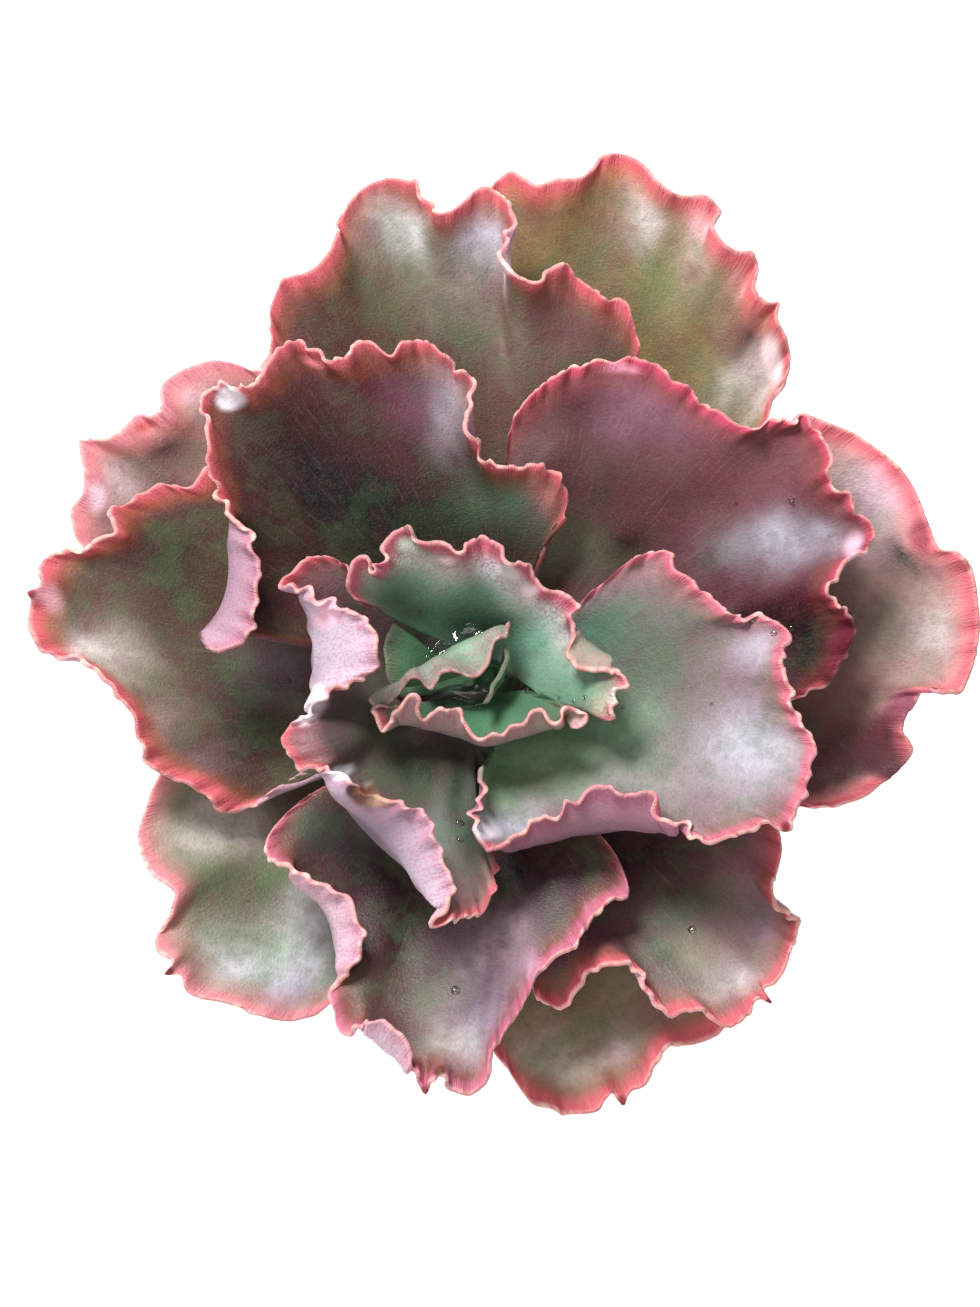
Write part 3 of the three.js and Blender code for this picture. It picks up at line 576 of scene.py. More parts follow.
        ((178, 138, 140), 46, 20, 12, 4, 0.7), ((128, 136, 126), 42, 14, 8, 6, 0.75),
        ((172, 142, 166), 60, -9, 5, 4, 0.6), (BLOOM_AND_SHEEN, 62, -18, 11, 9, 0.97), (BLOOM_AND_SHEEN, 63, 5, 5, 4, 0.8),
        ((180, 178, 174), 36, -26, 18, 4, 0.7), ((224, 230, 242), 3, -36, 7, 4, 0.85)
    ], over=[
        ((246, 240, 250), 0, -38, 4, 2.4, 0.8)
    ]),
    dict(name="leaf_06_back_left", order=6, ruffle=1.2, tip=(-61, 69.5), flesh=(90, 56, 56),
         back=(192, 160, 176), glow_colour=(184, 86, 60), glow=0.5, rim_width=0.7, dappled=0.15,
         stations=[
        (14, 28, 0), (13, 31.5, 0), (15.5, 34.5, 0), (18, 40, 0), (15, 46.5, 1), (8, 49, 4), (1, 49.5, 6),
        (-4, 54, 7), (-4, 61, 5), (-6, 69, 1), (-12, 75, 0), (-20, 77, -1), (-28, 76.5, 0), (-36, 73, 3),
        (-44, 77, -1), (-51, 73.5, 1), (-57, 65, 6), (-65, 66.5, 1), (-68, 61, -1), (-66, 53, 2),
        (-64, 43, 3), (-58, 33.5, 6, -61.5, 34, 1), (-54, 26, 9, -60.5, 28, 0),
        (-54, 18, 9, -61.5, 20, 0), (-56, 10, 7, -63.5, 13.5, 0), (-60, 6, 5, -65.5, 10.5, 0),
        (-64, 4.5, 3, -67.5, 9, 0)
    ], rim=[
        (-69, 8), (-66, 5), (-63, 4.5), (-60, 6), (-56, 8), (-55, 11), (-54, 14), (-54.5, 17),
        (-53.5, 22), (-54.5, 28), (-55.5, 32.5), (-58, 33.5), (-60.5, 36.5), (-62, 40), (-65, 45),
        (-66, 50), (-65.5, 56), (-66.5, 59), (-67.5, 61.5), (-67, 64.5), (-64, 66), (-60, 67),
        (-57, 66.5), (-55, 67.5), (-53, 69.5), (-51, 73.5), (-48, 76.5), (-45, 77), (-43, 75),
        (-40, 75.5), (-37, 72.5), (-34, 73.5), (-31, 77), (-28, 77), (-26, 75.5), (-23, 73.5), (-21, 77),
        (-18, 77), (-14.5, 77), (-12, 75), (-9, 73), (-8.5, 70), (-6, 70.5), (-4, 67), (-5, 62),
        (-5.5, 58), (-5, 55), (-3, 51.5), (0, 49), (4, 48), (8, 47.5), (12.5, 49), (13, 47), (16.5, 46.5),
        (17, 43.5), (18, 42), (18, 39), (17, 36.5), (14.5, 34), (11.5, 32.5)
    ], patches=[
        # The dark umber and near black patches in its middle are partly its own dark colour and partly painted
        # shade in its hollow.
        (DEEP_GREEN, -8, 6, 10, 8, 0.9), ((46, 42, 34), -24, 38, 26, 14, 0.9),
        ((98, 128, 104), 4, 39, 12, 8, 0.9), (DEEP_GREEN, -2, 33, 16, 4, 0.6),
        # The near white lavender at (-10, 63) is painted sheen on its top right lobe, lighter still to lift
        # the shade there.
        ((240, 218, 240), -10, 63, 5, 8, 0.9), ((96, 42, 50), -31, 68, 9, 6, 0.7),
        ((156, 98, 122), -20, 61, 5, 6, 0.7), ((32, 34, 26), -52, 17, 5, 7, 0.7),
        ((54, 44, 36), -46, 50, 9, 12, 0.8), ((190, 130, 132), 14, 42, 4, 6, 0.8),
        ((24, 28, 18), -38, 45, 11, 9, 0.9), ((42, 52, 44), -24, 34, 12, 7, 0.9)
    ], over=[
        ((255, 246, 255), -60, 63, 3.2, 2.8, 1), ((220, 124, 128), -40, 72.5, 5, 2, 0.6)
    ]),
    dict(name="leaf_07_front", order=7, ruffle=0.8, tip=(-15, -97), flesh=(96, 72, 70),
         blush=(212, 118, 146), glow=0.5, rim_width=0.8, stations=[
        (-40, -28, 0), (-48, -34, 0), (-52, -40.5, 0), (-50.5, -45, 2), (-45, -46, 5, -46.5, -48.5, 0),
        (-38, -50, 7, -41.5, -51.5, 0), (-32, -55, 8, -37.5, -56, 0), (-29.5, -62, 8, -35.5, -62, 0),
        (-31.5, -69, 5, -36, -68, 0), (-37, -75.5, 0, -33.5, -70.5, 0), (-35, -83.5, 0, -30, -76, 0),
        (-29, -82, 3, -29.5, -84, 0), (-25, -80.5, 6, -27.5, -85.5, 0), (-20, -85, 6, -23, -88.5, 0),
        (-18, -92, 3, -19.5, -93, 0), (-15, -96.5, -1), (-11.5, -94, 4), (-8, -97.5, 0), (-3, -97, -1),
        (0, -90, 1), (5, -80, 1), (11, -72, 0), (19, -64.5, 2), (24, -57, 1), (32, -52.5, -1),
        (31, -45, 0), (26, -38, 0), (18, -27, 0)
    ], rim=[
        (-40, -28), (-44, -30), (-48, -33.5), (-51, -37), (-52.5, -41), (-51, -44), (-49, -45),
        (-44, -46.5), (-41, -48.5), (-36, -50.5), (-32, -54), (-30, -59), (-29.5, -63), (-31, -67),
        (-33, -70.5), (-36, -73), (-37.5, -76), (-36, -79), (-36, -82), (-34, -84.5), (-31, -83.5),
        (-28, -81), (-25, -81), (-22, -83), (-19.5, -85.5), (-18.5, -89), (-17, -94), (-15, -97),
        (-13.5, -95.6), (-12, -94.6), (-10.4, -94.8), (-9.2, -96), (-8, -98), (-5, -98.5), (-1.5, -96.5),
        (0, -94), (0, -90), (2, -86), (5, -82), (8, -77), (10, -73), (12, -69.5), (16, -66), (19, -64.5),
        (22, -61), (24, -57), (27, -54.5), (29.5, -53), (32, -53), (32, -49), (31, -46), (29, -42),
        (26, -38.5)
    ], patches=[
        ((98, 110, 102), -34, -38, 11, 6, 0.9), ((60, 54, 56), -28, -46, 14, 7, 0.7),
        ((96, 64, 74), 20, -56, 9, 10, 0.8), ((72, 72, 70), 12, -54, 9, 7, 0.7),
        ((150, 130, 138), -10, -60, 7, 6, 0.7), ((84, 66, 64), -16, -68, 9, 5, 0.7),
        ((104, 104, 80), -17, -75, 8, 4, 0.7), ((132, 120, 120), -6, -78, 7, 4, 0.7),
        # The near white at (-7, -87) is a painted highlight near its curled tip. The near black band at (4,
        # -44) is painted shadow under the rolled edge of leaf_05, and the dark patches at (-28, -52), (-20,
        # -58) and (-20, -66) are partly its own dark wine and partly painted shade under leaf_04.
        ((230, 230, 240), -7, -87, 4, 5, 0.9), ((24, 22, 18), 4, -44, 16, 5, 0.9),
        ((48, 42, 44), -28, -52, 8, 6, 0.8), ((42, 34, 36), -20, -58, 7, 5, 0.8),
        ((46, 32, 30), -20, -66, 6, 5, 0.85), ((250, 220, 234), -2, -70, 6, 6, 0.85),
        ((232, 192, 210), 4, -64, 5, 7, 0.85), ((230, 220, 206), -12, -84, 4, 4, 0.8),
        ((196, 166, 192), 1, -80, 5, 6, 0.75), ((222, 196, 190), -8, -90, 4, 3, 0.6)
    ], over=[
        ((206, 158, 186), 10, -68, 4, 6, 0.5), ((112, 62, 50), -11.6, -93, 2, 1.5, 0.9)
    ]),
    dict(name="leaf_08_back_right", order=8, ruffle=1.2, flesh=(126, 82, 90), blush=(204, 84, 108),
         glow=0.35, rim_width=0.65, dappled=0.06, shine=0.08, stations=[
        (58, -8, 0), (72, -7, 0), (80, -1, 0), (84.5, 8, -1), (83, 15, 1), (79.5, 20, 5), (82, 26, 2),
        (89, 32, -2), (86, 38, 0), (82, 42, 3), (78, 46, 5), (79, 52, 2), (74, 60, -1), (66, 58.5, 4),
        (57, 59, 3), (49, 63, 1), (43, 67.5, 1), (31, 73, -1), (24, 72, 0), (15, 68, 1), (8, 62, 1),
        (4, 54, 0), (3, 42, 0)
    ], rim=[
        (4, 52), (5, 58), (8, 63), (11, 66), (15, 69), (19, 71), (22, 71.5), (25, 73), (29, 72),
        (32, 73.5), (36, 72.5), (40, 71), (43, 67.5), (46, 67), (48, 64), (50, 62), (54, 60.5), (57, 58),
        (60, 57), (64, 57.5), (66, 58.5), (70, 59), (74, 60), (75, 57), (77.5, 54.5), (79, 52),
        (80, 48.5), (79, 46), (80, 42.5), (83, 42), (84.5, 40), (85, 37), (88, 35.5), (89.5, 33),
        (89.5, 30.5), (87, 28.5), (83, 25), (79.5, 21), (79, 18), (81.5, 16), (84, 13), (85, 9),
        (83.5, 5.5), (81.5, 1.5), (79, -2.5), (75, -4), (73, -5.5), (70.5, -7)
    ], patches=[
        # The dark wine patches at (75, 8), (62, 14) and (75, 5), and the dark over marks at (82, 8) and (79,
        # -1), are partly its own wine colour and partly painted shade on its lower right lobe.
        ((108, 118, 94), 19, 29, 12, 10, 0.95), ((92, 64, 60), 24, 50, 14, 10, 0.7),
        ((82, 58, 54), 42, 41, 14, 7, 0.75), ((70, 34, 38), 20, 61, 6, 5, 0.8),
        (BLOOM_AND_SHEEN, 67, 30, 12, 5, 0.97), ((56, 22, 32), 75, 8, 12, 14, 0.98),
        ((158, 118, 138), 34, 60, 12, 7, 0.7), ((124, 78, 80), 58, 48, 14, 6, 0.6),
        ((176, 150, 146), 9, 51, 6, 6, 0.7), ((66, 58, 48), 22, 39, 9, 6, 0.8),
        ((84, 92, 72), 18, 30, 7, 7, 0.7), ((38, 36, 30), 33, 29, 8, 6, 0.9),
        ((98, 94, 90), 54, 28, 7, 5, 0.9), (BLOOM_AND_SHEEN, 74, 33, 7, 4, 0.9), ((44, 22, 30), 62, 14, 9, 6, 0.95),
        ((24, 8, 14), 75, 5, 9, 9, 0.97)
    ], over=[
        ((100, 32, 46), 82, 8, 3.5, 8, 0.8), ((84, 36, 38), 79, -1, 4, 4, 0.6),
        ((232, 190, 206), 84, 30, 3, 4, 0.7), ((228, 150, 170), 31, 70, 7, 2, 0.65)
    ]),
    dict(name="leaf_09_left", order=9, ruffle=0.7, tip=(-106.5, 18.5), flesh=(106, 88, 72),
         glow_colour=(188, 88, 62), glow=0.8, stations=[
        (-50, 39.5, 0), (-66, 47, 0), (-71, 43.5, 1), (-78, 43, 0), (-84, 40, 1), (-89, 38, 3),
        (-88, 32.5, 6), (-94, 30.5, 3), (-98, 28.5, 2), (-103, 27, -1), (-105, 21, 1), (-107, 15, -2),
        (-105, 7, -1), (-99, 2, 1), (-92, -3, 4), (-86, -11, 4), (-82, -18, 2), (-76, -23, 0),
        (-68, -27, 1), (-62, -32.5, -2), (-54, -31, 0), (-43, -27, 0)
    ], rim=[
        (-66.5, 48), (-68, 45), (-70, 43), (-74, 43.5), (-77, 44), (-80, 42), (-83, 41), (-84, 39),
        (-88, 38.5), (-89, 37), (-87.5, 34), (-87, 32.5), (-90, 31.5), (-94, 29.5), (-96, 27), (-98, 28),
        (-101, 28), (-104, 26), (-105.5, 23), (-104.5, 20.5), (-106.5, 18.5), (-107, 15), (-107.5, 10),
        (-105.5, 6), (-102, 4), (-100, 3.5), (-96, 4), (-92, 0), (-88, -3.5), (-84, -9), (-82, -15),
        (-81, -18), (-80, -21.5), (-76, -24), (-71, -26), (-66, -29), (-63.5, -32.5), (-60, -32.5),
        (-55, -30.5), (-50, -27), (-44, -23)
    ], patches=[
        ((198, 186, 170), -86, 4, 7, 9, 0.85), ((74, 68, 56), -74, 18, 12, 10, 0.8),
        ((56, 40, 40), -58, -14, 16, 13, 0.95), ((130, 124, 132), -50, 1, 8, 8, 0.8),
        ((80, 60, 54), -74, 34, 14, 8, 0.8), ((150, 110, 104), -68, -6, 7, 12, 0.3),
        ((240, 224, 222), -94, 6, 5, 5, 0.9), ((178, 152, 144), -77, -13, 6, 7, 0.8),
        ((150, 128, 128), -66, -21, 5, 4, 0.7), ((72, 54, 60), -60, -2, 8, 8, 0.8),
        ((52, 56, 48), -46, 10, 5, 7, 0.8), ((56, 46, 42), -75, 29, 8, 6, 0.8)
    ], over=[
        ((244, 186, 196), -102, 17, 4, 6, 0.6), ((226, 164, 182), -50, -40, 4, 3, 0.5)
    ]),
    dict(name="leaf_10_front_right", order=10, ruffle=0.8, tip=(65.5, -76.5), flesh=(118, 82, 86),
         glow=0.6, rim_width=0.8, stations=[
        (6.5, -62, 0), (9, -71, 0), (12, -77, 0), (18, -78, 2), (21, -71, 6), (27, -68, 8), (33, -68, 7),
        (37, -75, 4), (42, -81, 0), (47, -78.5, 2), (54, -82.5, -1), (60, -80, -1), (65.5, -76, -2),
        (69, -68, 0), (72, -59, -1), (71, -55.5, 2), (66, -53, 5), (67.5, -45, 2), (66, -36, 0),
        (54, -24, 0)
    ], rim=[
        (67, -36), (68, -42), (66.5, -47), (66, -51), (67, -54.5), (70, -57.5), (72.5, -57), (72, -59),
        (71, -63), (69, -68), (66.5, -72.5), (63.5, -74), (65.5, -76.5), (62, -76.5), (60.5, -79),
        (58, -82), (55, -82.5), (52, -81), (49, -79), (45, -79), (42, -80.5), (40, -79), (38, -76),
        (36, -72.5), (34, -69.5), (33, -68), (30, -68.5), (26, -68.5), (23, -70), (21.5, -73),
        (19.5, -76), (17, -78), (13, -77.5), (11, -76), (10, -74)
    ], patches=[
        # The near black wine at (36, -42) is partly its own dark wine and partly painted shade under the
        # rolled edge of leaf_05.
        ((50, 36, 36), 36, -42, 20, 8, 0.95), ((78, 76, 66), 46, -56, 14, 7, 0.8),
        ((150, 150, 112), 46, -66, 12, 5, 0.8), ((190, 186, 174), 54, -74, 9, 4, 0.9),
        ((100, 66, 72), 26, -64, 12, 7, 0.8), ((104, 80, 76), 50, -50, 8, 5, 0.75),
        ((176, 132, 140), 60, -51, 7, 8, 0.85), ((58, 54, 42), 40, -64, 6, 6, 0.9),
        ((220, 190, 208), 66, -62, 4, 6, 0.7), ((250, 230, 236), 60, -72, 5, 4, 0.8),
        ((190, 124, 138), 64, -40, 4, 6, 0.7)
    ]),
    dict(name="leaf_11_far_back", order=11, ruffle=1.0, flesh=(118, 92, 78), glow=0.7, rim_width=0.8,
         stations=[
        (33, 66, 0), (35, 76, 0), (33, 84, 1), (27, 88.5, 2), (21, 92, 1), (16, 95, 3), (10, 93, 7),
        (4.5, 97, 8), (4, 103, 5), (5, 108, 1), (0, 112, -2), (-6, 110, 1), (-12, 107, 5), (-17, 112, 2),
        (-23, 115, -2), (-30, 113, -3), (-34, 106, 0), (-36, 98, 3), (-41, 92.5, 3), (-48, 91, 0),
        (-51, 84, -1), (-50, 76, 0), (-44, 62, 0)
    ], rim=[
        (-56, 70), (-52, 73), (-51, 79), (-51.5, 83), (-50, 88), (-48, 91.5), (-43, 93), (-40, 95),
        (-37, 99), (-36, 103), (-34.5, 107), (-32.5, 110), (-29, 113), (-23, 115), (-19, 114.5),
        (-17, 115), (-15.5, 110.5), (-12, 107), (-9, 107.5), (-6, 110), (-3, 112.5), (-1, 113),
        (2, 111.5), (5, 109), (5.5, 106), (3, 100), (3, 97), (5, 93), (8, 91.5), (12, 91), (14, 93.5),
        (15, 95), (18, 95), (20, 92), (22, 90.5), (25, 88.5), (28, 86.5), (30, 87), (32, 86), (33, 83),
        (34, 79), (35, 75), (34, 73)
    ], patches=[
        # The near white patches at (-26, 108), (-2, 101) and (-19, 105) are painted highlights.
        ((216, 220, 216), -26, 108, 6, 5, 0.95), ((128, 130, 108), -20, 96, 10, 7, 0.8),
        ((214, 206, 222), -2, 101, 5, 8, 0.97), ((128, 126, 102), -14, 90, 10, 8, 0.8),
        ((90, 106, 72), -10, 78, 14, 5, 0.6), ((124, 76, 78), 16, 84, 12, 8, 0.8),
        ((84, 56, 44), -40, 82, 12, 10, 0.9), ((116, 88, 84), 14, 70, 18, 8, 0.7),
        ((242, 238, 236), -19, 105, 4, 4, 0.9), ((220, 182, 168), -31, 104, 3, 4, 0.7),
        ((248, 214, 218), 4, 95, 3, 4, 0.8), ((196, 182, 172), -8, 86, 6, 5, 0.7),
        ((98, 62, 52), 26, 77, 6, 5, 0.8), ((76, 58, 40), -31, 92, 7, 5, 0.8),
        ((156, 140, 128), 0, 76, 8, 5, 0.7)
    ], over=[
        ((255, 218, 222), 4, 94.5, 2.5, 3, 0.8)
    ]),
    dict(name="leaf_12_front_left", order=12, ruffle=0.3, tip=(-75, -70), flesh=(122, 124, 98),
         blush=(228, 140, 150), glow_colour=(216, 130, 130), glow=0.5, rim_width=0.75, stations=[
        (-60, -14, 0), (-75, -20, 0), (-79, -29, 0), (-81.5, -38, -2), (-79, -46, 0), (-73.5, -51, 5),
        (-75, -57, 3), (-77.5, -61, 0), (-74, -67, 2), (-71, -73, -1), (-63, -77, -1), (-54, -80, 1),
        (-46, -81, -1), (-38, -79, 0), (-29, -70, 0), (-18, -56, 0)
    ], rim=[
        (-77, -24), (-79, -28), (-81, -34), (-82, -38), (-81, -43), (-78, -48), (-74.5, -50),
        (-73, -51.5), (-74.5, -55), (-75, -58), (-78, -62), (-77.5, -65), (-74, -67.5), (-75, -70),
        (-72, -70.5), (-71, -74), (-67, -76), (-60, -77.5), (-55, -79.5), (-50, -81), (-44, -81),
        (-39, -78.5), (-37, -77)
    ], patches=[
        # The pale patch at (-60, -36) is partly its own colour and partly painted light that lifts the shade
        # cast on it by the leaves above.
        ((232, 214, 210), -60, -36, 13, 6, 0.9), ((84, 54, 54), -44, -30, 9, 6, 0.8),
        ((170, 192, 172), -50, -67, 13, 5, 0.85), ((84, 92, 68), -58, -51, 12, 6, 0.85),
        ((226, 168, 156), -76, -58, 3, 8, 0.7), ((226, 226, 226), -40, -56, 6, 8, 0.9),
        ((110, 84, 90), -53, -75, 6, 3, 0.5), ((210, 204, 198), -60, -63, 6, 5, 0.8),
        ((220, 214, 234), -46, -73, 6, 5, 0.75), ((230, 224, 232), -60, -71, 6, 3.5, 0.7),
        ((214, 216, 222), -41, -65, 5, 6, 0.7)
    ]),
    dict(name="leaf_13_far_right", order=13, ruffle=0.4, flesh=(184, 142, 136),
         glow_colour=(226, 132, 136), glow=0.9, stations=[
        (60, -30, 0), (78, -32, 0), (88, -29, -1), (97, -22, -1), (97.5, -16, 2), (96, -10, 4),
        (100, -5, 2), (104, -3, 4), (110, -4, 0), (114, 3, -2), (114, 12, -1), (113, 21, 0), (107, 28, 4),
        (103, 31, 3), (100, 41, 0), (94, 51, -1), (85, 56, -2), (75, 58, 0), (60, 50, 0)
    ], rim=[
        (74, 60), (79, 58), (85, 55.5), (90, 52), (95, 48), (98, 44), (100, 40), (101.5, 36), (103, 32),
        (105, 28.5), (109, 28), (111.5, 25.5), (113, 21), (113.5, 17), (114, 12), (113.5, 6), (112, 0),
        (109, -5), (105, -4.5), (101.5, -4), (99, -7), (97, -10.5), (96, -13.5), (98.5, -18), (96, -22),
        (92, -25.5), (87, -29), (80, -31.5), (74, -31.5)
    ], patches=[
        # Its dark red-brown lower part, at (80, -24), (87, -19) and in the over marks at (90, -20) and (91,
        # -16), is partly its own wine colour and partly painted shade under leaf_08.
        ((176, 158, 158), 90, 41, 9, 12, 0.9), ((126, 120, 100), 92, 10, 13, 9, 0.9),
        ((210, 176, 170), 104, 16, 5, 10, 0.7), ((84, 38, 42), 80, -24, 16, 12, 0.97),
        ((160, 124, 112), 86, -4, 11, 7, 0.9), ((34, 20, 16), 96, 26, 5, 5, 0.95),
        ((70, 32, 38), 87, -19, 14, 11, 0.95), ((226, 212, 208), 106, 8, 4, 6, 0.8),
        ((250, 208, 232), 93, 45, 5, 7, 0.8), ((240, 198, 212), 85, 31, 4, 6, 0.8)
    ], over=[
        ((158, 66, 80), 100.5, 32, 3, 5, 0.85), ((146, 72, 92), 96.5, -8, 4, 5, 0.75),
        ((58, 24, 28), 90, -20, 5, 5, 0.6), ((100, 44, 54), 91, -16, 6, 9, 0.75)
    ]),
    dict(name="leaf_14_far_left", order=14, ruffle=0.4, flesh=(176, 138, 130), blush=(232, 150, 160),
         glow_colour=(222, 130, 128), glow=0.9, stations=[
        (-42, 66, 0), (-52, 71, 0), (-60, 72.5, -1), (-70, 70.5, 0), (-76.5, 66, 0), (-76, 60, 4),
        (-82, 59, 0), (-86, 54.5, 4), (-95.5, 54, -1), (-94, 46, 2), (-97.5, 38, -1), (-96, 30, 0),
        (-84, 19, 0)
    ], rim=[
        (-56, 70.5), (-60, 72), (-65, 72.5), (-70, 71), (-74, 69), (-76.5, 66.5), (-76.5, 63), (-78, 60),
        (-82, 60), (-85, 57.5), (-88, 55), (-92, 54), (-95.5, 54), (-95, 49), (-94.5, 45), (-95, 41),
        (-97.5, 38), (-97, 33), (-95, 29.5)
    ], patches=[
        ((200, 104, 76), -72, 58, 5, 4, 0.5), ((150, 120, 112), -66, 60, 8, 5, 0.8),
        ((132, 106, 98), -80, 46, 10, 9, 0.85), ((250, 220, 228), -70, 68, 8, 5, 0.95),
        ((52, 34, 28), -73, 51, 6, 5, 0.95), ((236, 212, 214), -89, 44, 4, 5, 0.8)
    ], over=[
        ((194, 86, 82), -80, 57, 3.5, 2.2, 0.6), ((240, 206, 218), -92, 41, 3, 5, 0.65)
    ]),
    dict(name="leaf_15_far_front", order=15, ruffle=0.5, tip=(31, -100), flesh=(158, 140, 112), glow=0.85,
         stations=[
        (-4, -66, 0), (-3, -78, 0), (2, -90, 0), (7, -97, 0), (12, -101, 2), (20, -103.5, -1),
        (26, -101, 2), (31, -99, -1), (37, -95.5, 0), (40, -89, 3), (48, -86, 0), (56, -82, 0),
        (58, -70, 0), (50, -56, 0)
    ], rim=[
        (1, -89), (3, -91), (5, -94), (8, -98.5), (10.5, -101), (13, -101), (16, -102.5), (21, -103),
        (25, -102), (27, -99.5), (29, -97.5), (31, -100), (33, -97.5), (36.5, -96), (38, -92), (40, -89),
        (43, -87), (48, -86.5), (52, -85), (55, -82.5)
    ], patches=[
        ((150, 118, 108), 38, -82, 10, 7, 0.8), ((220, 206, 190), 15, -91, 8, 5, 0.9),
        ((116, 112, 76), 20, -78, 12, 4, 0.7), ((220, 196, 196), 28, -88, 5, 5, 0.8),
        ((140, 92, 100), 36, -90, 5, 4, 0.75)
    ]),
    dict(name="leaf_16_far_corner", order=16, ruffle=0.45, flesh=(150, 130, 84),
         glow_colour=(212, 98, 88), glow=0.85, stations=[
        (58, 47, 0), (66, 59, 0), (68, 67, -1), (70, 75, -2), (66.5, 82, 2), (67.5, 86.5, 0), (62, 87, 4),
        (61.5, 94, 0), (57, 98.5, 3), (53, 102, 4), (53, 109, -1), (47, 111, 0), (40, 114, 4),
        (34, 120, -1), (27, 121, -1), (22, 116.5, 3), (12, 114, 4), (5, 116.5, -1), (-3, 109, 0),
        (-8, 93, 0), (-8, 76, 0)
    ], rim=[
        (1, 114), (5, 116.5), (8, 115), (11, 113.5), (16, 115), (20, 115), (24, 117), (26, 120),
        (31, 120.5), (36, 118), (39, 114.5), (44, 111), (50, 111), (53, 108), (52, 104), (55, 99.5),
        (58, 98), (61, 98), (62.5, 94), (62, 89), (65, 86), (67.5, 86), (67, 82.5), (69, 78), (70, 73),
        (69, 68), (66, 64.5), (65, 59)
    ], patches=[
        # The pink-white patches at (51, 104) and (60, 91) are painted highlights over its own pink.
        ((142, 146, 94), 38, 90, 13, 9, 0.9), ((246, 206, 216), 51, 104, 5, 9, 0.97),
        ((138, 96, 68), 22, 106, 10, 5, 0.8), ((140, 124, 80), 44, 72, 14, 7, 0.9),
        ((242, 190, 192), 60, 91, 4, 8, 0.9), ((140, 58, 50), 60, 79.5, 5, 4, 0.85),
        ((250, 232, 230), 64, 70, 5, 8, 0.9), ((62, 34, 36), 61, 79, 2.2, 1.8, 0.9),
        ((238, 228, 218), 59, 65, 6, 6, 0.9), ((250, 234, 232), 37, 108, 5, 5, 0.9),
        ((124, 84, 62), 10, 107, 7, 4, 0.8), ((132, 98, 76), 29, 97, 7, 6, 0.8),
        ((118, 104, 60), 41, 79, 8, 6, 0.8), ((146, 96, 76), 53, 81, 5, 5, 0.8)
    ], over=[
        ((255, 228, 228), 66, 72, 3, 7, 0.8)
    ]),
    dict(INNER, name="leaf_17_inner_left", order=1.5, slope=38, spread=24, drop=2, girth=0.6, ruffle=0.2,
         flesh=(104, 150, 112), glow=0, blushed=0.1, freckled=0, stations=[
        (-22.3, 11.8, 1), (-24.2, 8, 0), (-24.5, 3, -1), (-23.5, -2.5, -2.8), (-20, -6.5, -4.2)
    ]),
]
CROWN_ABOVE_TRUNK_MM = 1.2
CROWN = Vector((POT_AXIS.x, POT_AXIS.y, TRUNK_HIGH.z + CROWN_ABOVE_TRUNK_MM * MM))
FIRST_BEARING = -15
DIVERGENCE = 140
LEAF_PITCH_MM = 2.4
FIRST_LEAF_DROP_MM = 2
TAPER_LEAVES = 9
TRUNK_TAPER = (TRUNK_RADIUS_MM - CROWN_RADIUS_MM) / (LEAF_PITCH_MM * TAPER_LEAVES)
# A leaf that has no slope of its own lies the flatter, the further out it is.
LEAST_SLOPE = 9
SLOPE_GAIN = 86
CLEARANCE_MM = 0.3
ROOT_THICKNESS_MM = 3.2
ROOT_DEPTH_MM = 2.5
SHOULDER_SHARE = 0.74
SHOULDER_SWAY = 0.35
SHOULDER_LIFT = 0.15
BELLY_LIFT = 0.3
CAMERA_TILT = math.radians(77)
SINE = math.sin(CAMERA_TILT)
COSINE = math.cos(CAMERA_TILT)
EYE_MM = 900


def through(points, places):
    """Points on a smooth curve through some points, at places from 0 at the first to 1 at the last."""
    points = np.asarray(points, float)
    line = np.concatenate([2 * points[:1] - points[1:2], points, 2 * points[-1:] - points[-2:-1]])
    spot = np.clip(places, 0, 1) * (len(points) - 1)
    first = np.minimum(spot.astype(int), len(points) - 2)
    s = (spot - first).reshape((-1,) + (1,) * (points.ndim - 1))
    a, b, c, d = (line[first + k] for k in range(4))
    ab, bc, cd = (np.linalg.norm(q - p, axis=-1, keepdims=True) ** 0.5 for p, q in ((a, b), (b, c), (c, d)))
    bc = np.where(bc < 1e-4, 1, bc)
    ab = np.where(ab < 1e-4, bc, ab)
    cd = np.where(cd < 1e-4, bc, cd)
    leave = ((b - a) / ab - (c - a) / (ab + bc) + (c - b) / bc) * bc
    reach = ((c - b) / bc - (d - b) / (bc + cd) + (d - c) / cd) * bc
    return b + leave * s + (3 * (c - b) - 2 * leave - reach) * s**2 + (2 * (b - c) + leave + reach) * s**3


def nearness(back, high):
    """How long one seen millimetre really is, at a place so far back and so high."""
    return 1 - (high * SINE - back * COSINE) / EYE_MM


def place_seen(across, up, height_at):
    """The place of a point that the camera sees at (across, up), where height_at gives its height."""
    place = np.array([across, up, 0.0])
    for _ in range(12):
        height = height_at(math.hypot(place[0], place[1]))
        nearer = nearness(place[1], height)
        place = np.array([across * nearer, (up * nearer - height * COSINE) / SINE, height])
    return place


def seen(points):
    """Where the camera sees some points, across and up."""
    nearer = nearness(points[..., 1], points[..., 2])[..., None]
    return np.stack([points[..., 0], points[..., 1] * SINE + points[..., 2] * COSINE], -1) / nearer


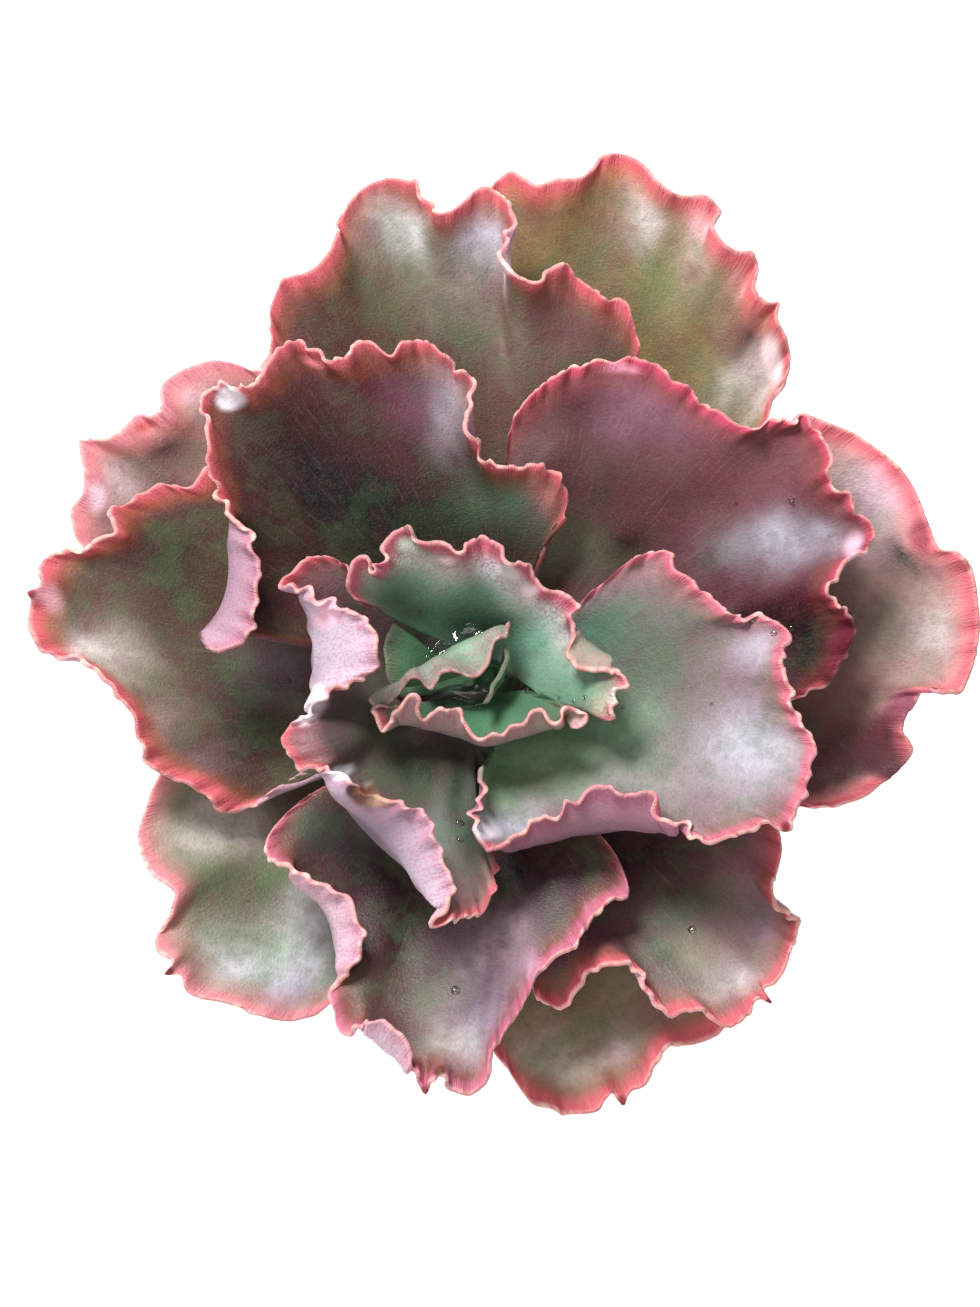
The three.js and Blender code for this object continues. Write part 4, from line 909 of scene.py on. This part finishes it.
def control_curves(leaf):
    """The four curves that a leaf hangs on, from root to edge, with one point for each station."""
    order = leaf["order"]
    slope = math.radians(leaf.get("slope", LEAST_SLOPE + SLOPE_GAIN / max(1, order - 1)))
    bearing = math.radians(FIRST_BEARING + DIVERGENCE * order + leaf["turn"])
    spread = math.radians(leaf["spread"])
    down = min(LEAF_PITCH_MM * TAPER_LEAVES, LEAF_PITCH_MM * order + leaf["drop"])
    bark_radius = CROWN_RADIUS_MM + TRUNK_TAPER * down
    taper = TRUNK_TAPER if order < TAPER_LEAVES else 0
    room = (2 if taper else 1) * CLEARANCE_MM * math.hypot(1, taper)
    half = leaf["girth"] * ROOT_THICKNESS_MM / 2
    radius = bark_radius + room + abs(math.sin(slope) - taper * math.cos(slope)) * half
    root_height = -FIRST_LEAF_DROP_MM - LEAF_PITCH_MM * order - leaf["drop"]

    def slope_height(distance):
        return root_height + max(0, distance - bark_radius) * math.tan(slope)

    def blade_height(point):
        return slope_height(math.hypot(point[0], point[1]))

    stations = leaf["stations"]
    last = len(stations) - 1
    root, belly, shoulder, edge = ([None] * (last + 1) for _ in range(4))
    for i, (across, up, lift, *roll) in enumerate(stations):
        turn = bearing + spread * (2 * i / last - 1)
        root[i] = np.array([radius * math.cos(turn), radius * math.sin(turn), slope_height(0)])
        if roll:
            shoulder[i] = place_seen(roll[0], roll[1], lambda d: slope_height(d) + roll[2])
            edge[i] = place_seen(across, up, lambda d: shoulder[i][2] + lift)
        else:
            edge[i] = place_seen(across, up, lambda d: slope_height(d) + lift)
    # Where nothing rolls, the shoulder follows the mean of the edge round it.
    calm = []
    for i in range(last + 1):
        span = min(2, i, last - i)
        steps = range(-span, span + 1)
        near = [shoulder[i + k] if shoulder[i + k] is not None else edge[i + k] for k in steps]
        calm.append(np.average(near, axis=0, weights=[span + 1 - abs(k) for k in steps]))
    for i, station in enumerate(stations):
        if len(station) == 3:
            sway = SHOULDER_SWAY * (edge[i] - calm[i])
            shoulder[i] = root[i] + SHOULDER_SHARE * (calm[i] + sway - root[i])
            shoulder[i][2] = blade_height(shoulder[i]) + SHOULDER_LIFT * (edge[i][2] - blade_height(edge[i]))
        belly[i] = (root[i] + shoulder[i]) / 2
        rise = BELLY_LIFT * (shoulder[i][2] - blade_height(shoulder[i]))
        belly[i][2] = blade_height(belly[i]) - leaf["sag"] + rise
    return root, belly, shoulder, edge


def lengths(points):
    """How far along a line of points each one is."""
    steps = np.linalg.norm(np.diff(points, axis=0), axis=-1)
    return np.concatenate([np.zeros((1,) + steps.shape[1:]), np.cumsum(steps, axis=0)])


def evened(values, span):
    """Values along their first axis, each one the soft mean of its neighbours."""
    if span < 1:
        return values
    weights = span + 1 - np.abs(np.arange(-span, span + 1))
    padded = np.concatenate([values[:1]] * span + [values] + [values[-1:]] * span)
    return sum(w * padded[k:k + len(values)] for k, w in enumerate(weights)) / weights.sum()


def bell(distance, width):
    """1 at a distance of nothing, falling smoothly to almost nothing at twice the width."""
    return np.exp(-(distance / width) ** 2)


RIM_MOVE_MM = 5
RIM_END_MM = 5
SUN_MARGIN_MM = 2
SUN_END_MM = 4


def rim_shift(edge, rim):
    """How far each point of the smooth edge moves to follow the rim, as seen, and where it is in the sun."""
    rim = np.array(rim, float)
    line = seen(edge)
    ahead = math.dist(rim[0], line[0]) + math.dist(rim[-1], line[-1])
    backward = math.dist(rim[0], line[-1]) + math.dist(rim[-1], line[0])
    if ahead > backward:
        rim = rim[::-1]
    rim = through(rim, np.linspace(0, 1, len(rim) * 5))
    # Each point of the rim is matched with one of the edge, in order, at the least cost in all.
    costs = ((rim[:, None] - line[None]) ** 2).sum(-1)
    total = [costs[0]]
    for cost in costs[1:]:
        total.append(cost + np.minimum.accumulate(total[-1]))
    match = [int(np.argmin(total[-1]))]
    for row in reversed(total[:-1]):
        match.append(int(np.argmin(row[:match[-1] + 1])))
    match = np.array(match[::-1])
    hits = np.unique(match)
    moves = np.array([(rim[match == hit] - line[hit]).mean(axis=0) for hit in hits])
    moves *= np.minimum(1, RIM_MOVE_MM / np.maximum(1e-6, np.linalg.norm(moves, axis=1)))[:, None]
    along = lengths(edge)
    shift = np.stack([np.interp(along, along[hits], moves[:, k]) for k in range(2)], -1)
    beyond = np.maximum(along[hits[0]] - along, along - along[hits[-1]])
    shift *= bell(np.maximum(0, beyond), RIM_END_MM)[:, None]
    return evened(shift, 1), bell(np.maximum(0, beyond - SUN_MARGIN_MM), SUN_END_MM)


EDGE_SAMPLES = 2000
RAY_SAMPLES = 90
COLUMN_MM = 0.55
RIM_RINGS_MM = (0, 0.1, 0.3, 0.6, 1.1, 1.8, 2.7, 3.8, 5.2, 7, 9.3)
INNER_RINGS = 9
FULL_LEAF_MM = 25
RIM_DEPTH_MM = 12
CALM_FROM_MM = 2.5
CALM_GAIN = 1.6
CALM_MOST_MM = 9
CREASE_MM = 3.5


def blade_grid(leaf):
    """The points midway through a leaf, in rings from its edge in to its root, with how deep each one lies,
    the edge itself, the length and size of each column, and where the edge is in the sun."""
    curves = control_curves(leaf)
    fine = np.linspace(0, 1, EDGE_SAMPLES)
    far = lengths(through(curves[3], fine))
    columns = int(far[-1] / COLUMN_MM)
    at = np.interp(np.linspace(0, far[-1], columns), far, fine)
    rays = through([through(curve, at) for curve in curves], np.linspace(1, 0, RAY_SAMPLES))
    edge = rays[0]
    inward = lengths(rays)
    reach = inward[-1]
    scale = np.minimum(1, reach / FULL_LEAF_MM)
    near = np.array(RIM_RINGS_MM)[:, None] * scale
    share = np.linspace(0, 1, INNER_RINGS + 1)[1:, None]
    depth = np.concatenate([near, near[-1] + share * (reach - near[-1])])
    grid = np.empty(depth.shape + (3,))
    for c in range(columns):
        for k in range(3):
            grid[:, c, k] = np.interp(depth[:, c], inward[:, c], rays[:, c, k])
    sun = np.ones(columns)
    if leaf["rim"]:
        shift, sun = rim_shift(edge, leaf["rim"])
        fade = np.maximum(0, 1 - depth / (RIM_DEPTH_MM * scale))[..., None] ** 2
        grid[..., :2] += shift / (1, SINE) * nearness(grid[..., 1:2], grid[..., 2:]) * fade
    # The further in a ring lies, the less of the edge's ruffle it keeps.
    row_length = lengths(grid.swapaxes(0, 1))
    for r in range(len(grid)):
        gap = max(0.05, row_length[-1, r] / columns)
        calm_mm = min(CALM_MOST_MM, max(0, CALM_GAIN * (depth[r].mean() - CALM_FROM_MM)))
        grid[r, 1:-1] = evened(grid[r], min(columns // 8, int(calm_mm / gap)))[1:-1]
    sink = grid[-1].copy()
    sink[:, :2] *= 1 - ROOT_DEPTH_MM / np.linalg.norm(sink[:, :2], axis=-1, keepdims=True)
    grid = np.concatenate([grid, sink[None]])
    depth = np.concatenate([depth, depth[-1:] + ROOT_DEPTH_MM])
    return grid, depth, edge, reach, scale, sun


def unit(arrows):
    """Arrows of the same directions, each one long."""
    return arrows / np.maximum(1e-9, np.linalg.norm(arrows, axis=-1, keepdims=True))


def face_arrows(grid, inward, row_length):
    """Which way the upper face points at each point, with its short creases evened out."""
    columns = grid.shape[1]
    normal = unit(np.cross(np.gradient(grid, axis=1), inward))
    soft = np.empty_like(normal)
    for r in range(len(grid)):
        soft[r] = evened(normal[r], min(columns // 4, int(CREASE_MM * columns / max(5, row_length[-1, r]))))
    normal = unit(evened(soft, 1))
    return -normal if normal[len(grid) // 2:, :, 2].mean() < 0 else normal


LOBE_MM = 2.6
LOBE_SPANS_MM = (13, 8.3, 21)
STRENGTH_SPANS_MM = (17, 31, 11)
WAVE_SPANS_MM = (7.3, 10.1, 14.7)
CALM_END_MM = 6
SCALLOP_MM = 0.7
POINT_MM = 1.3
POINT_HALF_WIDTH_MM = 0.9
POINT_DEPTH_MM = 2
FRILL_DEPTH_MM = 2.9
WAVE_DEPTH_MM = 5


def slow_wave(along, draw, spans):
    """A slow uneven wave along an edge, from -1 to 1."""
    parts = [np.sin(math.tau * along / span + draw.uniform(0, math.tau)) for span in spans]
    return sum(parts) / len(parts)


def frill(along, draw, lobe_mm):
    """The crinkle of an edge: its wave up and down, whose every half turn is a lobe, and its strength."""
    lobe = lobe_mm * np.exp(0.5 * slow_wave(along, draw, LOBE_SPANS_MM))
    turn = np.cumsum(np.gradient(along) * math.pi / lobe) + draw.uniform(0, math.pi)
    strength = np.clip(0.5 + 0.75 * slow_wave(along, draw, STRENGTH_SPANS_MM), 0.08, 1) * lobe / lobe_mm
    return np.sin(turn), strength


def ruffled(leaf, draw, grid, depth, edge, normal, outward):
    """The grid with the leaf's tip drawn out and its margin crinkled, and how proud each lobe is."""
    size = leaf["ruffle"]
    along = lengths(edge)
    calm = np.minimum(1, np.minimum(along, along[-1] - along) / CALM_END_MM)
    crimp, strength = frill(along, draw, LOBE_MM)
    strength = strength * calm
    scallop = (np.abs(crimp) ** 0.7 - 0.6) * strength
    crimp = crimp * strength
    wave = slow_wave(along, draw, WAVE_SPANS_MM) * calm * (0.5 + 0.4 / max(0.4, size))
    if leaf["tip"]:
        nearest = np.argmin(((seen(edge) - leaf["tip"]) ** 2).sum(-1))
        point = POINT_MM * bell(along - along[nearest], POINT_HALF_WIDTH_MM)
        grid = grid + outward[:1] * point[:, None] * bell(depth, POINT_DEPTH_MM)[..., None]
    frill_fade = bell(depth, FRILL_DEPTH_MM)[..., None]
    lift = crimp[:, None] * frill_fade + wave[:, None] * bell(depth, WAVE_DEPTH_MM)[..., None]
    grid = grid + size * (normal * lift + outward[:1] * SCALLOP_MM * scallop[:, None] * frill_fade)
    return grid, scallop


# Half the thickness of the flesh at some depths in from the edge.
THICK_AT_MM = (0, 3, 15, 40)
HALF_THICK_MM = (0.66, 0.52, 0.95, 1.25)
ROOT_BLEND_MM = 14
BEAD_MM = 0.7
SIDE_ROUND_MM = 1.2


def rounding(distance, radius):
    """The share of its full thickness that a rounded border has at a distance from its edge."""
    return np.sqrt(np.maximum(0, 1 - (1 - np.minimum(1, distance / radius)) ** 2))


def leaf_grids(leaf, seed):
    """The grids of points of a leaf's two faces, and what its skin needs to know of each point."""
    draw = np.random.default_rng(seed)
    grid, depth, edge, reach, scale, sun = blade_grid(leaf)
    row_length = lengths(grid.swapaxes(0, 1))
    inward = np.gradient(grid, axis=0)
    normal = face_arrows(grid, inward, row_length)
    grid, scallop = ruffled(leaf, draw, grid, depth, edge, normal, unit(-inward))

    girth = leaf["girth"]
    plump = np.interp(depth, THICK_AT_MM, HALF_THICK_MM) * (0.5 + 0.5 * girth)
    root_share = np.clip(1 - (reach - depth) / ROOT_BLEND_MM, 0, 1)
    plump = plump + (ROOT_THICKNESS_MM / 2 * girth - plump) * root_share
    side = np.minimum(row_length, row_length[-1:] - row_length).T
    plump *= rounding(depth, BEAD_MM * scale)
    plump *= rounding(side, SIDE_ROUND_MM)
    plump[-1] = 0
    upper = grid + normal * plump[..., None]
    lower = grid - normal * plump[..., None]
    marks = {
        "rim": np.minimum(depth, 4 + 2 * side),
        "around": np.broadcast_to(lengths(edge), depth.shape),
        "share": np.clip(1 - depth / reach, 0, 1),
        "crest": np.broadcast_to(0.5 + scallop, depth.shape),
        "sun": np.broadcast_to(sun, depth.shape),
    }
    return upper, lower, marks


# The wax on a leaf adds a thin veil of white light to the colour below it, so the colour is laid on deeper.
VEIL = 0.02
DEPTH_OF_COLOUR = 0.92
DARKEST = 0.004
UNEVEN_MM = 1.6
BACK_PALES_FROM = 0.55
BACK_PALES_OVER = 0.42
TIP_SPOT = ((136, 48, 54), 1.5, 1.5, 0.85)


def patch_share(places, patch):
    """How strongly a soft patch colours each place as seen; its outline is a little uneven."""
    _, across, up, wide, high, strength = patch
    stir = UNEVEN_MM * min(1, wide / 6, high / 3)
    x = places[..., 0] + stir * np.sin(places[..., 1] * 0.29 + 1.7 * np.sin(places[..., 0] * 0.17)) - across
    y = places[..., 1] + stir * np.sin(places[..., 0] * 0.33 + 1.7 * np.sin(places[..., 1] * 0.19)) - up
    return strength * np.exp(-((x / wide) ** 2) - (y / high) ** 2)


def laid_over(places, patches):
    """The colour of the patches that lie over a leaf's rim, and how far they hide it."""
    colour = np.zeros(places.shape[:-1] + (4,))
    weight = np.full(places.shape[:-1], 1e-9)
    left = np.ones(places.shape[:-1])
    for patch in patches:
        share = patch_share(places, patch)
        colour += share[..., None] ** 2 * paint(*patch[0])
        weight += share ** 2
        left *= 1 - share
    return colour / weight[..., None], 1 - left


def toned(places, tone, patches):
    """The colour of a leaf's flesh at each place as seen: a first tone under some broad soft patches."""
    for patch in patches:
        share = patch_share(places, patch)[..., None]
        tone = tone * (1 - share) + np.array(paint(*patch[0])) * share
    tone[..., :3] = np.maximum(DARKEST, (tone[..., :3] - VEIL) * DEPTH_OF_COLOUR)
    return tone


def store(mesh, mark, values, kind="FLOAT", field="value"):
    """Keeps a number, or a colour, for each point of a mesh, where its material can read it."""
    flat = np.asarray(values).reshape(-1).astype(np.float32)
    mesh.attributes.new(mark, kind, "POINT").data.foreach_set(field, flat)


def colour_leaf(mesh, leaf, upper, lower, share):
    """Stores the colours of a leaf's two faces, and those that lie over its rim."""
    flesh = toned(seen(upper), np.ones(upper.shape[:2] + (1,)) * paint(*leaf["flesh"]), leaf["patches"])
    margin, inner = (np.array(paint(*leaf[key])) for key in ("back", "inner_back"))
    towards = np.clip((share - BACK_PALES_FROM) / BACK_PALES_OVER, 0, 1)[..., None]
    back = toned(seen(lower), inner + (margin - inner) * towards, leaf["back_patches"])
    store(mesh, "tone", np.concatenate([flesh, back]), "FLOAT_COLOR", "color")
    spots = list(leaf["over"])
    if leaf["tip"]:
        spots.append((TIP_SPOT[0], *leaf["tip"], *TIP_SPOT[1:]))
    over, cover = laid_over(seen(np.concatenate([upper, lower])), spots)
    store(mesh, "over", over, "FLOAT_COLOR", "color")
    store(mesh, "cover", cover)


def leaf_mesh(leaf, seed):
    """A closed bmesh of a leaf, with the marks that its skin reads."""
    upper, lower, marks = leaf_grids(leaf, seed)
    rows, columns = upper.shape[:2]
    bm = bmesh.new()
    bmesh.ops.create_grid(bm, x_segments=columns - 1, y_segments=rows - 1, size=1)
    under = bmesh.ops.create_grid(bm, x_segments=columns - 1, y_segments=rows - 1, size=1)["verts"]
    bmesh.ops.reverse_faces(bm, faces=list({face for vert in under for face in vert.link_faces}))
    mesh = bpy.data.meshes.new("draft")
    bm.to_mesh(mesh)
    points = np.concatenate([upper, lower]) * MM + np.array(CROWN)
    mesh.vertices.foreach_set("co", points.reshape(-1).astype(np.float32))
    for mark, values in marks.items():
        store(mesh, mark, np.concatenate([values, values]))
    store(mesh, "face", np.repeat((1, 0), rows * columns))
    colour_leaf(mesh, leaf, upper, lower, marks["share"])
    bm.clear()
    bm.from_mesh(mesh)
    bpy.data.meshes.remove(mesh)
    bmesh.ops.remove_doubles(bm, verts=[v for v in bm.verts if v.is_boundary], dist=0.001 * MM)
    bmesh.ops.recalc_face_normals(bm, faces=bm.faces)
    return bm


PURPLE_SPECK = paint(58, 32, 38)
PALE_SPECK = paint(226, 208, 210)
PALE_LINE = paint(214, 188, 190)
PALE_CELL = paint(206, 190, 196)
OLD_FLECK = paint(84, 34, 34)
FRECKLE = paint(160, 104, 120)
RED_STREAK = paint(196, 52, 76)
# The pale bead of the rim in two copies, shaded in the notches of its crinkle and lit on its proud lobes:
# painted shade and painted highlight.
BEAD_SHADED = paint(236, 146, 146)
BEAD_LIT = paint(250, 208, 192)
BACK_SPECK = paint(168, 96, 122)
BACK_CELL = paint(120, 96, 104)


class Skin:
    """One leaf's skin, painted from the flesh outwards with the mesh's marks and noises of several sizes."""

    def __init__(self, leaf, tree, place):
        self.leaf = leaf
        self.tree = tree
        self.place = place
        self.rim, self.around, self.share, self.face, self.crest, self.sun, self.cover = (
            self.mark(name, 2) for name in ("rim", "around", "share", "face", "crest", "sun", "cover"))
        self.tone = self.mark("tone", 0)
        self.broad = grain(tree, place, 34, 3, 0.55)
        self.other = grain(tree, place, 47, 3, 0.55)
        self.patchy = grain(tree, place, 95, 3, 0.6)
        self.blotch = grain(tree, place, 260, 3, 0.6)
        self.stipple = grain(tree, place, 1500, 2)
        self.cells = grain(tree, place, 2500, 1)
        self.lines = self.drawn_in(1.3, 0.10, 3)
        self.fine_lines = self.drawn_in(2.6, 0.16, 2)
        self.near = self.rim * (1 / leaf["rim_width"])
        self.blushed = self.sun * leaf["blushed"]

    def mark(self, name, output):
        return add(self.tree, "ShaderNodeAttribute", {"attribute_name": name}, output=output)

    def own(self, key):
        return paint(*self.leaf[key])

    def drawn_in(self, around, inward, detail):
        """Noise drawn out into lines that run in from the edge."""
        inputs = {0: self.around * around, 1: self.rim * inward, 2: self.share}
        return grain(self.tree, add(self.tree, "ShaderNodeCombineXYZ", inputs=inputs), 1.0, detail, 0.6)

    def flesh(self):
        """The upper face inside its rim: stained and dappled flesh under fine specks, lines and flecks."""
        stained, dappled = self.leaf["stained"], self.leaf["dappled"]
        stain, dapple = self.own("stain"), self.own("dapple")
        inputs = {"Vector": self.place, "Scale": 150.0}
        flecks, picks = (add(self.tree, "ShaderNodeTexVoronoi", inputs=inputs, output=k) for k in (0, 1))
        chosen = add(self.tree, "ShaderNodeSeparateColor", inputs={0: picks}).rise(0.84, 0.86)
        return coats(
            self.tone,
            (self.broad.rise(0.48, 0.68) * stained, stain),
            (self.other.rise(0.5, 0.7) * dappled, dapple),
            (self.blotch.rise(0.5, 0.68) * 0.2, stain),
            (self.blotch.fall(0.34, 0.48) * dappled * 0.7, dapple),
            (self.patchy.rise(0.5, 0.6) * dappled, dapple),
            (self.patchy.fall(0.4, 0.5) * stained * 0.6, stain),
            (self.stipple.rise(0.5, 0.66) * 0.13, PURPLE_SPECK),
            (self.stipple.fall(0.34, 0.47) * 0.015, PALE_SPECK),
            (self.lines.rise(0.56, 0.74) * 0.08, PALE_LINE),
            (self.cells.rise(0.5, 0.68) * 0.03, PALE_CELL),
            (flecks.fall(0.04, 0.12) * chosen * 0.6, OLD_FLECK),
        )

    def margin(self, colour):
        """The sunned margin over the flesh: a broad glow, freckles, then the blush and its red streaks."""
        lines = (self.lines - 0.5) * 3
        glowing = (self.rim + (self.blotch - 0.5) * 5 + lines).fall(1.5, 10.0)
        freckled = self.stipple.rise(0.46, 0.6) * self.near.fall(3, 13)
        blush = (self.near + (self.stipple - 0.5) * 1.0 + lines + (self.broad - 0.5) * 5).fall(0.8, 5.5)
        streaks = self.fine_lines.rise(0.5, 0.66) * self.near.fall(0.8, 5.5)
        return coats(
            colour,
            (glowing * self.sun * self.leaf["glow"] * 0.85, self.own("glow_colour")),
            (freckled * self.leaf["freckled"] * self.sun, FRECKLE),
            (blush * 0.9 * self.blushed, self.own("blush")),
            (streaks * self.blushed * 0.4, RED_STREAK),
        )

    def back(self):
        """The lower face: pale bloomy flesh that reddens in specks and streaks towards the rim."""
        streaks = self.fine_lines.rise(0.48, 0.66) * self.rim.fall(2, 11)
        return coats(
            self.tone,
            (self.near.fall(0.5, 7) * 0.3 * self.blushed, self.own("back_blush")),
            (self.stipple.rise(0.5, 0.62) * 0.35 * self.blushed, BACK_SPECK),
            (self.cells.rise(0.5, 0.66) * 0.12, BACK_CELL),
            (streaks * self.blushed * 0.4, self.own("back_blush")),
        )

    def whole(self):
        """Both faces, with the pale bead of the rim and what lies over it, and their gloss and relief."""
        edge = self.near + (self.stipple - 0.5) * 0.5 + (self.blotch - 0.5) * 0.8
        bead = edge.fall(0.2, 1.5) * (0.4 + 0.55 * self.other.rise(0.42, 0.58)) * self.blushed
        # The bead is painted lighter on its proud lobes and darker in its notches: painted highlight and shade
        # over its own pale pink.
        pale = mix(self.crest.rise(0.2, 0.9), BEAD_SHADED, BEAD_LIT)
        upper = mix(bead, self.margin(self.flesh()), pale)
        lower = mix(bead, self.back(), pale)
        colour = mix(self.cover.rise(0.2, 0.7), mix(self.face, lower, upper), self.mark("over", 0))
        pleats = self.fine_lines * self.near.fall(1, 6) * 1.4
        relief = self.cells * 0.3 + self.stipple * 0.5 + self.lines * 0.2 + pleats
        return colour, 0.42 + 0.16 * self.blotch, relief


SKIN_BUMP_MM = 0.3
FIRST_SEED = 40
GREEN_LEAVES = 4
WAXY_FLESH = {
    "Subsurface Weight": 0.1, "Subsurface Radius": (1.0, 0.45, 0.35), "Subsurface Scale": 0.0015,
    "Sheen Weight": 0.06, "Sheen Roughness": 0.35,
}
blades = []
for number, entry in enumerate(LEAVES):
    leaf = USUAL | entry
    name = leaf["name"]
    waxy = WAXY_FLESH | {"Specular IOR Level": leaf["shine"]}
    skin = surface(name + "_skin", SKIN_BUMP_MM, lambda tree, place: Skin(leaf, tree, place).whole(), waxy)
    leaf_slot = "leaf_green" if leaf["order"] < GREEN_LEAVES else "leaf_mauve"
    title = name.replace("leaf_", "blade_")
    blades.append(piece(title, leaf_mesh(leaf, FIRST_SEED + number), skin, name))


# The water: two small pools caught among the inner leaves, and stray drops from the last watering.
# It is plain clear water, held up by its own skin, so its rims climb the leaves that it touches.
# Each drop is (across, up, radius) in mm as seen.
DROPS = [
    (2.9, -2, 0.65), (8.5, -4.4, 0.65), (12, -5, 0.5), (16, -6, 0.5), (19.5, -6.8, 0.6), (22, -6, 0.65),
    (-7, -35, 1.1), (-7, -39, 0.9), (61, 12, 1.0), (66, 9, 0.9), (70, 10, 1.1), (70, 40, 0.9),
    (-8, -74, 1.2), (22, -61, 0.8), (47, -60, 1.0), (-47, -2, 0.8),
]
POOLS = [
    dict(across=-9.2, up=6, level=0.6, long=8.2, wide=4.6, turn=28),
    dict(across=-7, up=-5.8, level=0.8, long=7, wide=3, turn=5),
]
DROP_HEIGHT = 0.6
DROP_DEPTH = 0.25
POOL_DEPTH_MM = 1.6
BRIM_MM = 0.35
RIPPLE_MM = 0.3
RIPPLE_RADIANS = 1.2
# The lower its alpha, the more daylight passes straight through the water to the leaf below.
CLEAR_WATER = {
    "Base Color": (1, 1, 1, 1), "Roughness": 0.02, "IOR": 1.33, "Transmission Weight": 1.0,
    "Coat Weight": 1.0, "Coat Roughness": 0.03,
}
EYE = CROWN + Vector((0, -COSINE, SINE)) * EYE_MM * MM

bpy.context.view_layer.update()
blade_trees = [BVHTree.FromObject(blade, bpy.context.evaluated_depsgraph_get()) for blade in blades]


def sight(across, up):
    """The first leaf that the camera meets at a seen place: where, and which way its face points."""
    aim = CROWN + Vector((across, up * SINE, up * COSINE)) * MM
    ray = (aim - EYE).normalized()
    hits = [hit for hit in (tree.ray_cast(EYE, ray) for tree in blade_trees) if hit[0] is not None]
    spot, normal, _, _ = min(hits, key=lambda hit: hit[3])
    return spot, normal


drops_bm = bmesh.new()
for across, up, radius in DROPS:
    spot, normal = sight(across, up)
    turn = normal.to_track_quat("Z", "Y")
    for vert in bmesh.ops.create_icosphere(drops_bm, subdivisions=3, radius=radius * MM)["verts"]:
        tall = DROP_HEIGHT if vert.co.z > 0 else DROP_DEPTH
        vert.co = spot + turn @ Vector((vert.co.x, vert.co.y, vert.co.z * tall))
piece("water_drops", drops_bm, finish("drop_water", CLEAR_WATER | {"Alpha": 1.0}))

pools_bm = bmesh.new()
for pool in POOLS:
    level = pool["level"]
    across, up, _ = place_seen(pool["across"], pool["up"], lambda d: level)
    turn = math.radians(pool["turn"])
    for vert in bmesh.ops.create_icosphere(pools_bm, subdivisions=5, radius=1)["verts"]:
        x, y = vert.co.x * pool["long"], vert.co.y * pool["wide"]
        brim = BRIM_MM * math.hypot(vert.co.x, vert.co.y) ** 6 * (vert.co.z > 0)
        sway = noise.noise(Vector((x, y, level)) * 0.22) * 4
        ripple = RIPPLE_MM * math.sin(y * RIPPLE_RADIANS + sway) * (vert.co.z > 0)
        height = min(0, vert.co.z) * POOL_DEPTH_MM + brim + ripple
        right = across + x * math.cos(turn) - y * math.sin(turn)
        back = up + x * math.sin(turn) + y * math.cos(turn)
        vert.co = CROWN + Vector((right, back, level + height)) * MM
piece("water_pools", pools_bm, finish("pool_water", CLEAR_WATER | {"Alpha": 0.55}))


# The floor, light and camera are not part of the plant. The floor is a wide white plane under the pot.
# The window's soft daylight comes from behind and to the left of the plant, well above it. A weaker and
# broader light fills the shade from the front left, above it, in a plain white room.
FLOOR_SIZE = 40
MATTE_WHITE = {
    "Base Color": (0.9, 0.9, 0.9, 1), "Roughness": 1.0, "Specular IOR Level": 0.0,
    "Emission Color": (1, 1, 1, 1), "Emission Strength": 0.8,
}
WHITE_ROOM = {"Color": (0.96, 0.98, 1.0, 1), "Strength": 0.27}
LAMPS = [
    dict(name="window", place=(-0.4, 0.75, 1.05), size=0.45, power=21.5, tint=(0.98, 0.98, 1.0)),
    dict(name="fill", place=(-0.25, -0.5, 1.1), size=0.7, power=4.5, tint=(1.0, 0.98, 0.97)),
]
SENSOR_MM = 36
LENS_MM = 106.6
LENS_SHIFT = 0.01415

bpy.ops.mesh.primitive_plane_add(size=FLOOR_SIZE, location=(0, 0, 0))
floor = bpy.context.object
floor.name = "floor"
floor.data.materials.append(finish("white_floor", MATTE_WHITE))
bpy.context.scene.world = finish("white_room", WHITE_ROOM, "Background", bpy.data.worlds)


def aimed(name, data, place):
    """Puts a lamp or a camera at a place, facing the crown of the plant."""
    made = bpy.data.objects.new(name, data)
    made.location = place
    made.rotation_euler = (CROWN - Vector(place)).to_track_quat("-Z", "Y").to_euler()
    bpy.context.scene.collection.objects.link(made)
    return made


for lamp in LAMPS:
    light = bpy.data.lights.new(lamp["name"], "AREA")
    light.size = lamp["size"]
    light.energy = lamp["power"]
    light.color = lamp["tint"]
    aimed(lamp["name"], light, lamp["place"])

bpy.context.scene.view_settings.view_transform = "Standard"
camera_data = bpy.data.cameras.new("camera")
camera_data.sensor_width = SENSOR_MM
camera_data.lens = LENS_MM
camera_data.shift_y = LENS_SHIFT
bpy.context.scene.camera = aimed("camera", camera_data, EYE)
